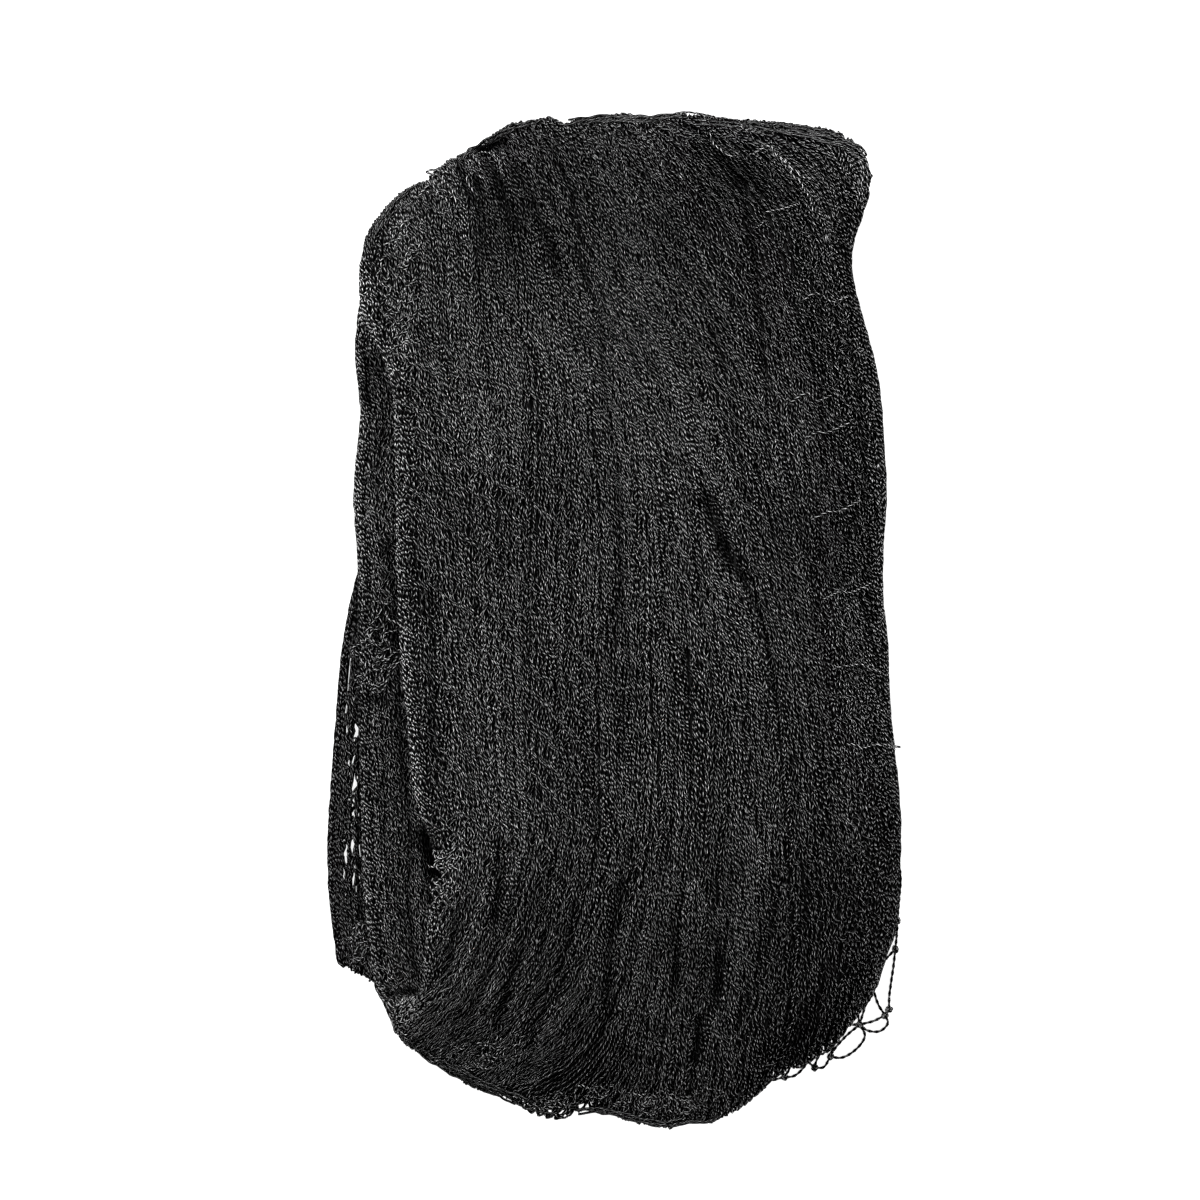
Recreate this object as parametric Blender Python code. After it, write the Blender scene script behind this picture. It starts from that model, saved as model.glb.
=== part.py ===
"""Bird netting: one net of twisted cord, drawn together into a thick band and folded into a bundle.

The band runs along Y. It starts as the core, turns up at the far end into the top run, wraps round the
near end into the second run, turns down at the far end into the under run and ends at the near end.
A few open meshes of the net's edge lie loose beside the near right corner.

Run it with: blender --background --python part.py. Sizes are in millimetres until the last step.
X is across the bundle, Y along its cords, Z up. The origin is under the middle of its box.
"""

import math

import bmesh
import bpy
import numpy as np

MILLIMETRE = 0.001

# ---------------------------------------------------------------- driving sizes
CORD = 1.0  # thickness of the twisted cord
GAP = 1.2  # between one run of the band and the next
HALF_WIDTH = 86.0  # of the bundle, for its crown
HALF_LENGTH = 152.0
CORE_SHORT = 5.0  # how far the core's end stays back from the near fold round it

COLUMNS_A = 45  # points across face A of the band, the one that shows on the bundle's top
COLUMNS_B = 13  # and across face B
EDGE_STEPS = 3  # points round each of its long edges, between the faces
FOLD_STEPS = 6
RIDGE_RISE = 0.6  # how far the ridges between furrows reach past the middle line of a fold's rim
END_ANGLES = (60, 35, 15)  # degrees from the tip, for the rounded ends of the band
CORD_SIDES = 6

# Each run of the band: thickness, stations along it, and how strongly its two faces are furrowed.
RUNS = {
    "under": {"thick": 7.5, "stations": 12, "furrow_a": 0.8, "furrow_b": 0.0},
    "second": {"thick": 12.0, "stations": 13, "furrow_a": 0.3, "furrow_b": 1.0},
    "core": {"thick": 12.0, "stations": 6, "furrow_a": 0.3, "furrow_b": 0.3},
    "top": {"thick": 15.0, "stations": 21, "furrow_a": 1.0, "furrow_b": 0.3},
}
STACK = ("under", "second", "core", "top")  # from the floor up

# The long edges of each run. Columns: y, x of the left edge, x of the right edge.
EDGES = {
    "under": (
        (-100, -84.0, 79.5),
        (-84, -86.0, 82.5),
        (-68, -86.5, 84.0),
        (-50, -85.5, 82.5),
        (-30, -84.0, 81.0),
        (-8, -82.0, 80.5),
        (6, -79.5, 78.5),
        (18, -76.5, 78.0),
        (40, -74.0, 77.5),
        (70, -73.5, 75.0),
        (100, -73.5, 71.0),
        (126, -58.0, 70.0),
        (145, -42.0, 70.0),
    ),
    "second": (
        (-110, -72.0, 77.5),
        (-98, -73.5, 81.5),
        (-84, -75.0, 84.0),
        (-60, -76.0, 84.0),
        (-30, -77.0, 82.5),
        (-8, -77.5, 80.5),
        (12, -77.0, 79.5),
        (22, -77.5, 79.5),
        (36, -78.5, 80.0),
        (51, -77.5, 80.0),
        (60, -76.5, 79.0),
        (82, -78.0, 75.5),
        (97, -76.5, 71.5),
        (112, -74.0, 70.5),
        (127, -66.0, 71.0),
        (140, -56.0, 70.0),
    ),
    "core": (
        (-130, -53.0, 74.0),
        (-84, -52.5, 80.5),
        (-54, -57.0, 81.0),
        (6, -62.5, 77.0),
        (66, -63.5, 75.5),
        (97, -69.0, 70.5),
        (127, -65.0, 71.0),
        (140, -56.0, 70.0),
    ),
    "top": (
        (-122, -63.0, 80.0),
        (-113, -58.0, 81.5),
        (-99, -56.5, 83.0),
        (-86, -55.0, 84.5),
        (-77, -53.5, 85.0),
        (-68, -54.0, 85.5),
        (-54, -59.0, 85.0),
        (-38, -61.0, 83.5),
        (-23, -62.5, 82.0),
        (-8, -64.0, 81.5),
        (7, -64.5, 80.0),
        (22, -65.0, 80.0),
        (37, -65.0, 81.0),
        (51, -65.5, 80.5),
        (70, -66.5, 79.0),
        (80, -69.5, 77.0),
        (87, -73.5, 75.0),
        (96, -76.0, 72.5),
        (103, -76.5, 71.0),
        (112, -75.5, 71.0),
        (120, -75.0, 73.5),
        (128, -74.5, 76.0),
        (138, -74.0, 75.5),
    ),
}

# How far the folds reach. Columns: x, y of the outline there.
NEAR_OUTLINE = (
    (-69.5, -116.5),
    (-67.8, -120.0),
    (-63.9, -126.0),
    (-60.3, -129.0),
    (-55.0, -132.8),
    (-46.8, -138.0),
    (-39.9, -141.0),
    (-32.7, -144.0),
    (-27.0, -147.0),
    (-19.5, -150.0),
    (-15.0, -149.2),
    (-8.0, -147.8),
    (-1.5, -148.6),
    (5.0, -150.2),
    (12.0, -152.2),
    (17.0, -152.7),
    (21.0, -151.3),
    (30.0, -150.6),
    (34.5, -148.6),
    (39.0, -145.2),
    (43.5, -141.5),
    (48.0, -137.6),
    (56.0, -134.4),
    (61.7, -130.8),
    (65.0, -128.2),
    (69.0, -123.4),
    (73.8, -117.6),
    (77.5, -112.0),
    (80.0, -105.0),
    (85.0, -92.0),
)
FAR_UPPER_OUTLINE = (
    (-77.0, 105.0),
    (-75.6, 111.0),
    (-72.3, 118.5),
    (-66.3, 126.0),
    (-64.5, 127.8),
    (-60.0, 130.5),
    (-56.4, 131.6),
    (-54.0, 134.6),
    (-51.0, 136.8),
    (-46.5, 138.9),
    (-42.0, 141.9),
    (-37.5, 145.2),
    (-33.0, 147.6),
    (-28.5, 149.1),
    (-24.0, 150.2),
    (-19.5, 150.8),
    (-15.0, 149.2),
    (-10.5, 150.2),
    (-5.0, 151.0),
    (12.0, 151.4),
    (17.0, 152.0),
    (25.5, 151.2),
    (34.5, 150.0),
    (48.0, 149.4),
    (57.0, 148.2),
    (66.0, 146.4),
    (70.5, 144.3),
    (74.0, 140.5),
    (77.0, 133.0),
)
FAR_LOWER_OUTLINE = (
    (-76.0, 104.0),
    (-68.0, 121.0),
    (-56.0, 131.5),
    (-45.0, 141.0),
    (-33.0, 147.0),
    (-18.0, 147.0),
    (10.0, 148.0),
    (40.0, 146.0),
    (62.0, 141.5),
    (72.0, 132.0),
)
UNDER_END_OUTLINE = (
    (-86.0, -99.0),
    (-82.0, -105.5),
    (-75.5, -108.5),
    (-69.0, -112.0),
    (-60.0, -122.0),
    (-44.0, -133.5),
    (-20.0, -141.0),
    (13.0, -146.0),
    (31.0, -143.0),
    (49.0, -132.0),
    (59.0, -128.0),
    (70.0, -119.0),
    (77.0, -107.0),
    (85.0, -88.0),
)

# The folds, with the runs they join, the end they are at (+1 far) and the edges of the band at the bend.
FOLDS = {
    "far_upper": {
        "from": "core",
        "to": "top",
        "side": 1,
        "outline": FAR_UPPER_OUTLINE,
        "left": -75.0,
        "right": 77.0,
        "furrow_a": 0.8,
        "furrow_b": 0.0,
    },
    "near": {
        "from": "top",
        "to": "second",
        "side": -1,
        "outline": NEAR_OUTLINE,
        "left": -66.5,
        "right": 79.5,
        "furrow_a": 1.0,
        "furrow_b": 0.3,
    },
    "far_lower": {
        "from": "second",
        "to": "under",
        "side": 1,
        "outline": FAR_LOWER_OUTLINE,
        "left": -75.0,
        "right": 72.0,
        "furrow_a": 0.0,
        "furrow_b": 1.0,
    },
}

# How far the cords lean towards -X between the long edges. Columns: y, share of the band's width.
LEAN = ((-150, 0.1), (-120, 0.08), (-85, 0.04), (-50, 0.0), (60, 0.0), (100, 0.05), (150, 0.15))

# Deep creases in the top. Columns: x and y of one end, x and y of the other, depth, half width.
CREASES = (
    (26.5, 34.0, 36.0, 12.0, 2.6, 5.0),
    (36.0, 12.0, 45.0, -24.0, 2.4, 4.5),
    (-5.5, -78.0, -8.0, -117.0, 2.6, 4.2),
    (-36.5, -64.0, -38.5, -90.0, 2.8, 4.2),
    (19.0, -90.0, 18.5, -116.0, 2.8, 4.2),
    (32.0, -88.0, 30.0, -118.0, 2.4, 4.2),
    (26.0, -115.0, 25.0, -134.0, 2.6, 4.2),
    (-49.0, -87.0, -53.0, -113.0, 2.2, 4.2),
    (62.5, -107.0, 53.0, -130.0, 2.2, 5.0),
    (-58.0, 20.0, -51.0, -55.0, 1.6, 4.5),
    (-35.0, 132.0, -29.0, 98.0, 2.2, 5.0),
    (37.0, 140.0, 47.0, 85.0, 2.2, 4.6),
    (7.0, 143.0, 12.0, 112.0, 1.8, 4.2),
)

# The net's open meshes beside the bundle. Knots: name, x, y.
KNOTS = {
    "side": (85.4, -90.9),
    "right": (84.8, -99.6),
    "corner": (82.9, -117.8),
    "fork": (81.7, -119.6),
    "middle": (74.0, -122.4),
    "left": (65.2, -132.0),
    "small": (60.4, -135.4),
    "last": (51.3, -138.2),
}
KNOT_RADIUS = 1.1
# Their cords, each from a knot or from inside the band to a knot: start, points x, y between, end.
# A number in place of a knot is how deep in the band's rim, in z, that end of the cord is.
OPEN_CORDS = (
    (2.6, ((80.0, -62.0), (84.8, -70.0), (86.4, -78.0), (86.0, -84.0)), "side"),
    (2.6, ((80.0, -74.0), (84.2, -81.0), (85.0, -86.0)), "side"),
    ("side", ((85.3, -94.5),), "right"),
    (2.6, ((74.5, -104.0), (80.4, -103.6)), "right"),
    ("right", ((84.3, -104.5), (83.5, -110.0), (83.0, -114.0)), "corner"),
    (2.6, ((75.0, -103.5), (77.9, -111.0), (79.9, -116.8)), "fork"),
    ("fork", ((78.1, -121.4), (75.8, -122.0)), "middle"),
    ("fork", ((82.6, -121.7), (80.6, -124.2), (76.2, -124.1)), "middle"),
    (2.6, ((70.5, -111.0), (73.2, -118.0)), "middle"),
    (2.6, ((74.4, -105.5), (76.5, -113.5), (75.1, -118.8)), "middle"),
    (2.6, ((64.0, -119.0), (69.6, -122.3)), "middle"),
    ("middle", ((69.3, -126.5), (66.2, -130.2)), "left"),
    ("middle", ((75.6, -125.4), (72.6, -130.2), (67.8, -132.5)), "left"),
    (2.6, ((63.6, -119.5), (66.1, -128.0)), "left"),
    ("left", ((62.9, -135.4),), "small"),
    (2.6, ((60.5, -122.5), (62.3, -130.6), (61.0, -133.2)), "small"),
    (2.6, ((54.0, -126.5), (58.6, -133.8)), "small"),
    (2.6, ((57.0, -124.5), (57.6, -134.6), (53.4, -138.2)), "last"),
    (2.6, ((51.0, -127.5), (52.9, -135.6)), "last"),
    ("last", ((46.7, -139.3), (41.0, -137.5), (38.0, -133.0)), 2.6),
)


# ---------------------------------------------------------------- small helpers
def smooth_table(rows, at, column=1):
    """A table's column at the values in at, on a smooth curve through its rows; flat beyond its ends."""
    rows = np.array(rows, float)
    keys, values = rows[:, 0], rows[:, column]
    slopes = np.gradient(values, keys)
    at = np.clip(np.asarray(at, float), keys[0], keys[-1])
    i = np.clip(np.searchsorted(keys, at) - 1, 0, len(keys) - 2)
    step = keys[i + 1] - keys[i]
    u = (at - keys[i]) / step
    return (
        values[i] * (1 + 2 * u) * (1 - u) ** 2
        + values[i + 1] * u * u * (3 - 2 * u)
        + step * (slopes[i] * u * (1 - u) ** 2 - slopes[i + 1] * u * u * (1 - u))
    )


def mix(a, b, share):
    return a + (b - a) * share


# ---------------------------------------------------------------- the stack of runs
def floor_of(run):
    """Height of the run's lower face, before the crown is pressed into the bundle."""
    below = STACK[: STACK.index(run)]
    return sum(RUNS[name]["thick"] + GAP for name in below)


def middle_of(run):
    return floor_of(run) + RUNS[run]["thick"] / 2


def across(t, y):
    """Where the cord at share t of the band's width lies between its long edges, at y."""
    return t - smooth_table(LEAN, y) * 4 * t * (1 - t)


def run_x(run, t, y):
    """X of the band's middle surface in a run. Its edges are inside the stated ones by half a thickness."""
    round_edge = RUNS[run]["thick"] / 2
    left = smooth_table(EDGES[run], y, 1) + round_edge
    right = smooth_table(EDGES[run], y, 2) - round_edge
    return mix(left, right, across(t, y))


def fold_shape(name, t):
    """(x at the bend, y of the pivot, z of the pivot, inner radius) of a fold at share t of the width."""
    fold = FOLDS[name]
    lower, upper = sorted((fold["from"], fold["to"]), key=STACK.index)
    inside = floor_of(upper) - floor_of(lower) - RUNS[lower]["thick"]
    thick = (RUNS[lower]["thick"] + RUNS[upper]["thick"]) / 2
    end = fold["side"] * HALF_LENGTH
    x = mix(fold["left"] + thick / 4, fold["right"] - thick / 4, across(t, end))
    reach = smooth_table(fold["outline"], x) + fold["side"] * RIDGE_RISE
    pivot_y = reach - fold["side"] * (inside / 2 + thick)
    return x, pivot_y, floor_of(upper) - inside / 2, inside / 2


def run_ends(run, t):
    """Y of a run's near and far ends at share t, where its folds or its rounded end begin."""
    if run == "under":
        edge = RUNS["under"]["thick"] / 2
        reach = smooth_table(UNDER_END_OUTLINE, mix(-86.0 + edge, 85.0 - edge, t))
        return reach + edge, fold_shape("far_lower", t)[1]
    near = fold_shape("near", t)[1] + (CORE_SHORT if run == "core" else 0.0)
    return near, fold_shape("far_lower" if run == "second" else "far_upper", t)[1]


# ---------------------------------------------------------------- the band's stations
# A station is a dict: x, y, z of the middle surface and ny, nz of the direction of face A, an array each
# over the columns; thick, the band's thickness there; furrow_a, furrow_b, the strength of its furrows; and
# creased, whether it has the top's creases. A fold's has a bend too: how far round it is, side, outline.
def run_station(run, share, t, heading, thick_share=1.0, past=0.0):
    """A section of a run, share of the way from its near end, or past the end for a rounded tip."""
    near, far = run_ends(run, t)
    y = mix(near, far, share)
    data = RUNS[run]
    return {
        "x": run_x(run, t, y),
        "y": y + past,
        "z": np.full_like(t, middle_of(run)),
        "ny": 0.0,
        "nz": -heading,
        "thick": data["thick"] * thick_share,
        "furrow_a": data["furrow_a"] * thick_share,
        "furrow_b": data["furrow_b"] * thick_share,
        "creased": run == "top",
    }


def fold_station(name, turn, t):
    """A section of a fold, at turn from 0 to 1 of its half circle."""
    fold = FOLDS[name]
    bend_x, pivot_y, pivot_z, inside = fold_shape(name, t)
    thick = mix(RUNS[fold["from"]]["thick"], RUNS[fold["to"]]["thick"], turn)
    radius = inside + thick / 2
    rises = 1 if STACK.index(fold["to"]) > STACK.index(fold["from"]) else -1
    angle = math.pi * turn
    nearest = fold["from"] if turn < 0.5 else fold["to"]
    x = mix(run_x(nearest, t, pivot_y), bend_x, math.sin(angle) ** 2)
    out_y, out_z = fold["side"] * math.sin(angle), -rises * math.cos(angle)
    a_side = 1 if rises * fold["side"] > 0 or name == "near" else -1
    return {
        "x": x,
        "y": pivot_y + radius * out_y,
        "z": np.full_like(t, pivot_z + radius * out_z),
        "ny": a_side * out_y,
        "nz": a_side * out_z,
        "thick": thick,
        "furrow_a": fold["furrow_a"] * (1 - 0.5 * math.sin(angle)),
        "furrow_b": fold["furrow_b"] * (1 - 0.5 * math.sin(angle)),
        "creased": "top" in (fold["from"], fold["to"]),
        "bend": (math.sin(angle), fold["side"], fold["outline"]),
    }


def rounded_end(run, t, heading):
    """Stations of a rounded end, from the tip inwards. Both of the band's ends are at the near end."""
    stations = []
    for degrees in sorted(END_ANGLES):
        angle = math.radians(degrees)
        past = -RUNS[run]["thick"] / 2 * math.cos(angle)
        stations.append(run_station(run, 0.0, t, heading, math.sin(angle), past))
    return stations


def run_stations(run, t, heading):
    """Stations along a run in the direction of its heading, +1 towards the far end."""
    shares = np.linspace(0, 1, RUNS[run]["stations"])[::heading]
    return [run_station(run, share, t, heading) for share in shares]


def fold_stations(name, t):
    return [fold_station(name, turn, t) for turn in np.linspace(0, 1, FOLD_STEPS + 1)[1:-1]]


def band_stations(t):
    """Every section of the band, from its start in the core to its end in the under run."""
    return (
        rounded_end("core", t, 1)
        + run_stations("core", t, 1)
        + fold_stations("far_upper", t)
        + run_stations("top", t, -1)
        + fold_stations("near", t)
        + run_stations("second", t, 1)
        + fold_stations("far_lower", t)
        + run_stations("under", t, -1)
        + rounded_end("under", t, -1)[::-1]
    )


# ---------------------------------------------------------------- furrows and crown
# Rows of furrows between the gathers of cord: depth, count over the width, wander, phase.
FURROWS = (
    (1.5, 5.3, 0.40, 0.0),
    (1.1, 8.6, 0.30, 1.3),
    (0.8, 13.4, 0.35, 2.9),
)


def furrow_depth(t, station):
    """Depth of the soft furrows between the gathers of cord, at share t of the width."""
    drift = station * 0.23
    total = np.zeros_like(t)
    for depth, count, wander, phase in FURROWS:
        turns = count * t + wander * math.sin(drift * (1 + 0.4 * phase) + phase)
        total += depth * (0.5 + 0.5 * np.cos(2 * math.pi * turns + phase)) ** 3
    return total * np.sin(math.pi * np.clip(t, 0.015, 0.985)) ** 0.4


def crease_depth(x, y):
    """Depth of the deep creases in the top, at points in plan."""
    total = np.zeros_like(x)
    for x0, y0, x1, y1, depth, half_width in CREASES:
        dx, dy = x1 - x0, y1 - y0
        u = np.clip(((x - x0) * dx + (y - y0) * dy) / (dx * dx + dy * dy), 0, 1)
        far = np.hypot(x - x0 - u * dx, y - y0 - u * dy)
        total = np.maximum(total, depth * np.exp(-((far / half_width) ** 2)))
    return total


def crown(x, y):
    """Share of its height that the stack keeps at a place in plan: it is pressed down towards its rim."""
    side = 0.33 * np.minimum(np.abs(x) / HALF_WIDTH, 1.0) ** 3.2
    far = 0.36 * np.clip((y / HALF_LENGTH - 0.55) / 0.45, 0, 1) ** 1.6
    near = 0.42 * np.clip((-y / HALF_LENGTH - 0.40) / 0.60, 0, 1) ** 1.6
    return (1 - side) * (1 - far - near)


# ---------------------------------------------------------------- meshes
def face_points(station, number, t, side):
    """Points of one face of a section from its left edge to its right; side is +1 for A, -1 for B."""
    strength = station["furrow_a"] if side > 0 else station["furrow_b"]
    depth = station["thick"] / 2 - strength * furrow_depth(t, number)
    if side > 0 and station["creased"]:
        depth = depth - max(station["nz"], 0.0) * crease_depth(station["x"], station["y"])
    return np.stack(
        [
            station["x"],
            station["y"] + side * station["ny"] * depth,
            station["z"] + side * station["nz"] * depth,
        ],
        axis=1,
    )


def edge_points(station, column, outwards):
    """Points round a long edge of a section, from face A to face B; in a fold they keep to its outline."""
    angles = np.linspace(0, math.pi, EDGE_STEPS + 2)[1:-1]
    half = station["thick"] / 2
    rise, reach = np.cos(angles) * half, np.sin(angles) * half
    last_x = station["x"][column]
    y = station["y"][column] + station["ny"] * rise
    if "bend" in station:
        turned, side, outline = station["bend"]
        reach = reach * (1 - 0.5 * turned**2)
        inwards = smooth_table(outline, last_x + outwards * reach) - smooth_table(outline, last_x)
        rim = station["y"][column] + turned * (side * half + inwards)
        y = side * np.minimum(side * y, side * rim)
    return np.stack([last_x + outwards * reach, y, station["z"][column] + station["nz"] * rise], axis=1)


def zipped(upper, lower):
    """Triangles between two lines of point numbers that start and end side by side."""
    faces = []
    i = j = 0
    while i < len(upper) - 1 or j < len(lower) - 1:
        if (i + 1) * (len(lower) - 1) <= (j + 1) * (len(upper) - 1):
            faces.append([upper[i], lower[j], upper[i + 1]])
            i += 1
        else:
            faces.append([upper[i], lower[j], lower[j + 1]])
            j += 1
    return faces


def end_faces(first, reverse):
    """Triangles that close an end section, joining face A to face B straight through the band."""
    half_edge = EDGE_STEPS // 2 + 1
    ring = COLUMNS_A + COLUMNS_B + 2 * EDGE_STEPS
    right = COLUMNS_A + half_edge - 1
    left = ring - half_edge
    upper = [left] + [(left + i) % ring for i in range(1, ring - left + right + 1)]
    lower = [left] + [left - i for i in range(1, left - right + 1)]
    faces = [f for f in zipped(upper[:-1], lower[1:-1])]
    faces.append([upper[-2], lower[-2], right])
    faces = [[first + i for i in face] for face in faces]
    return [face[::-1] for face in faces] if reverse else faces


def band_mesh():
    """Points and faces of the folded band, as one closed skin."""
    t_a, t_b = np.linspace(0, 1, COLUMNS_A), np.linspace(0, 1, COLUMNS_B)
    rings = []
    for number, (a, b) in enumerate(zip(band_stations(t_a), band_stations(t_b))):
        across_a, across_b = face_points(a, number, t_a, 1), face_points(b, number, t_b, -1)
        left_edge = edge_points(a, 0, -1)[::-1]
        rings.append(np.concatenate([across_a, edge_points(a, -1, 1), across_b[::-1], left_edge]))
    size = len(rings[0])
    faces = []
    for i in range(len(rings) - 1):
        for j in range(size):
            k = (j + 1) % size
            faces.append([i * size + j, i * size + k, (i + 1) * size + k, (i + 1) * size + j])
    faces += end_faces(0, False)
    faces += end_faces((len(rings) - 1) * size, True)
    points = np.concatenate(rings)
    points[:, 2] *= crown(points[:, 0], points[:, 1])
    return points, faces


def new_object(name, points, faces):
    mesh = bpy.data.meshes.new(name)
    mesh.from_pydata([tuple(p) for p in points], [], faces)
    made = bpy.data.objects.new(name, mesh)
    bpy.context.scene.collection.objects.link(made)
    return made


def cord_route(start, between, end):
    """Points along a cord of the open meshes, level on the floor between its two ends."""
    rest = CORD / 2 + 0.1
    places = [(x, y, rest) for x, y in between]
    if isinstance(start, str):
        places.insert(0, (*KNOTS[start], rest + 0.2))
    else:
        places[0] = (*places[0][:2], start)
    if isinstance(end, str):
        places.append((*KNOTS[end], rest + 0.3))
    else:
        places[-1] = (*places[-1][:2], end)
    places = np.array(places, float)
    keys = np.arange(len(places), dtype=float)
    fine = np.linspace(0, keys[-1], 2 * len(places) - 1)
    return np.stack([smooth_table(np.stack([keys, places[:, k]], 1), fine) for k in range(3)], 1)


def tube_mesh(line, radius):
    """Points and faces of a closed tube along a line of points that runs about level."""
    along = np.gradient(line, axis=0)
    along /= np.linalg.norm(along, axis=1, keepdims=True)
    aside = np.cross(along, (0.0, 0.0, 1.0))
    aside /= np.linalg.norm(aside, axis=1, keepdims=True)
    above = np.cross(aside, along)
    turn = np.arange(CORD_SIDES) * 2 * math.pi / CORD_SIDES
    rings = line[:, None] + radius * (
        aside[:, None] * np.cos(turn)[:, None] + above[:, None] * np.sin(turn)[:, None]
    )
    faces = [list(range(CORD_SIDES))]
    for i in range(len(line) - 1):
        for j in range(CORD_SIDES):
            k = (j + 1) % CORD_SIDES
            low, high = i * CORD_SIDES, (i + 1) * CORD_SIDES
            faces.append([low + k, low + j, high + j, high + k])
    last = (len(line) - 1) * CORD_SIDES
    faces.append([last + j for j in range(CORD_SIDES)][::-1])
    return rings.reshape(-1, 3), faces


def ball_mesh(centre, radius):
    """Points and faces of a small twelve-cornered ball."""
    ball = bmesh.new()
    bmesh.ops.create_icosphere(ball, subdivisions=1, radius=radius)
    points = np.array([v.co for v in ball.verts]) + np.array(centre)
    faces = [[v.index for v in f.verts] for f in ball.faces]
    ball.free()
    return points, faces


def open_mesh_parts():
    """Every cord and knot of the open meshes, as (points, faces)."""
    parts = [tube_mesh(cord_route(*row), CORD / 2) for row in OPEN_CORDS]
    for x, y in KNOTS.values():
        parts.append(ball_mesh((x, y, KNOT_RADIUS), KNOT_RADIUS))
    return parts


def joined(parts):
    """Several (points, faces) as one."""
    points, faces, first = [], [], 0
    for part_points, part_faces in parts:
        points.append(part_points)
        faces += [[first + i for i in face] for face in part_faces]
        first += len(part_points)
    return np.concatenate(points), faces


def unite(body, other):
    """The body with the other object's closed pieces joined to it and to each other."""
    join = body.modifiers.new("join", "BOOLEAN")
    join.operation = "UNION"
    join.solver = "EXACT"
    join.use_self = True
    join.object = other
    graph = bpy.context.evaluated_depsgraph_get()
    made = bpy.data.meshes.new_from_object(body.evaluated_get(graph))
    body.modifiers.clear()
    body.data = made
    bpy.data.objects.remove(other)


def cord_material():
    made = bpy.data.materials.new("black_cord")
    made.use_nodes = True
    shader = made.node_tree.nodes["Principled BSDF"]
    shader.inputs["Base Color"].default_value = (0.022, 0.022, 0.023, 1)
    shader.inputs["Roughness"].default_value = 0.6
    shader.inputs["Metallic"].default_value = 0.0
    made.diffuse_color = (0.022, 0.022, 0.023, 1)
    return made


def main():
    for old in list(bpy.data.objects):
        bpy.data.objects.remove(old)
    net = new_object("net", *band_mesh())
    unite(net, new_object("open_meshes", *joined(open_mesh_parts())))
    points = np.array([v.co for v in net.data.vertices])
    low, high = points.min(0), points.max(0)
    centre = ((low[0] + high[0]) / 2, (low[1] + high[1]) / 2, low[2])
    for vertex in net.data.vertices:
        vertex.co = [(vertex.co[k] - centre[k]) * MILLIMETRE for k in range(3)]
    net.data.shade_smooth()
    net.data.set_sharp_from_angle(angle=math.radians(50))
    net.data.materials.clear()
    net.data.materials.append(cord_material())


main()
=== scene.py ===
"""Bird netting: a net of twisted cord, drawn together into a band and folded into a bundle.

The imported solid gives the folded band. This file dresses it: a dark core of cord, thousands of twisted
cords that run along the band's skin and meet in closed-up meshes, the open meshes of the loose edge,
the loops that stand out of the bundle, and a plain pale stage.
Shapes are worked out in millimetres, in the part's own plan, and put into metres with their place.
"""

import math

import bpy
import numpy as np
from bpy.props import FloatProperty, FloatVectorProperty, IntProperty
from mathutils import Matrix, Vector
from mathutils.bvhtree import BVHTree


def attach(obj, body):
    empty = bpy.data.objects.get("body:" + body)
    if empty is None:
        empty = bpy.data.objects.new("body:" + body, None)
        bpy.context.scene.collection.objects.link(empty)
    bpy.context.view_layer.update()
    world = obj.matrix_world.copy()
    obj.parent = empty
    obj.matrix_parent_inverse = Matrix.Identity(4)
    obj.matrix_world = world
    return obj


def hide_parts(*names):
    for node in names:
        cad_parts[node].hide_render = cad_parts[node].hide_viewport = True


bl_info = {
    "name": "Bird netting bundle",
    "version": (1, 0, 0),
    "blender": (4, 5, 0),
    "location": "View3D > Sidebar > Netting",
    "description": "Dresses a folded bundle of bird netting with its cords",
    "category": "Object",
}

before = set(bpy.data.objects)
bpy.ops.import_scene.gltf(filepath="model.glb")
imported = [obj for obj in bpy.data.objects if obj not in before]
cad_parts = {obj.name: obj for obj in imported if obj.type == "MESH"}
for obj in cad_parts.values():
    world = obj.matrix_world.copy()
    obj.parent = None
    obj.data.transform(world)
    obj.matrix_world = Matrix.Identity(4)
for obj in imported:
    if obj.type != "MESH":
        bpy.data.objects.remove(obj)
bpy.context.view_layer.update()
NET = "net"

MM = 0.001
PLAN_CENTRE = np.array((0.24, -0.39, 0.0))  # of the part's own plan, in millimetres
UP = (0.0, 0.0, 1.0)

# ---------------------------------------------------------------- the band's plan, in millimetres
GAP = 1.2  # between one run of the band and the next
HALF_WIDTH, HALF_LENGTH = 86.0, 152.0
CORE_SHORT = 5.0  # how far the core's end stays back from the near fold round it
RIDGE_RISE = 0.6  # how far the ridges between furrows reach past the middle line of a fold's rim
MEAN_THICK = 12.0  # of the band, by which an inset of its skin is reckoned

# Each run: thickness, number of its first section, sections, and the furrows of its faces A and B.
RUNS = {
    "under": {"thick": 7.5, "first": 58, "sections": 12, "furrows": (0.8, 0.0)},
    "second": {"thick": 12.0, "first": 40, "sections": 13, "furrows": (0.3, 1.0)},
    "core": {"thick": 12.0, "first": 3, "sections": 6, "furrows": (0.3, 0.3)},
    "top": {"thick": 15.0, "first": 14, "sections": 21, "furrows": (1.0, 0.3)},
}
STACK = ("under", "second", "core", "top")  # from the floor up

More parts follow.
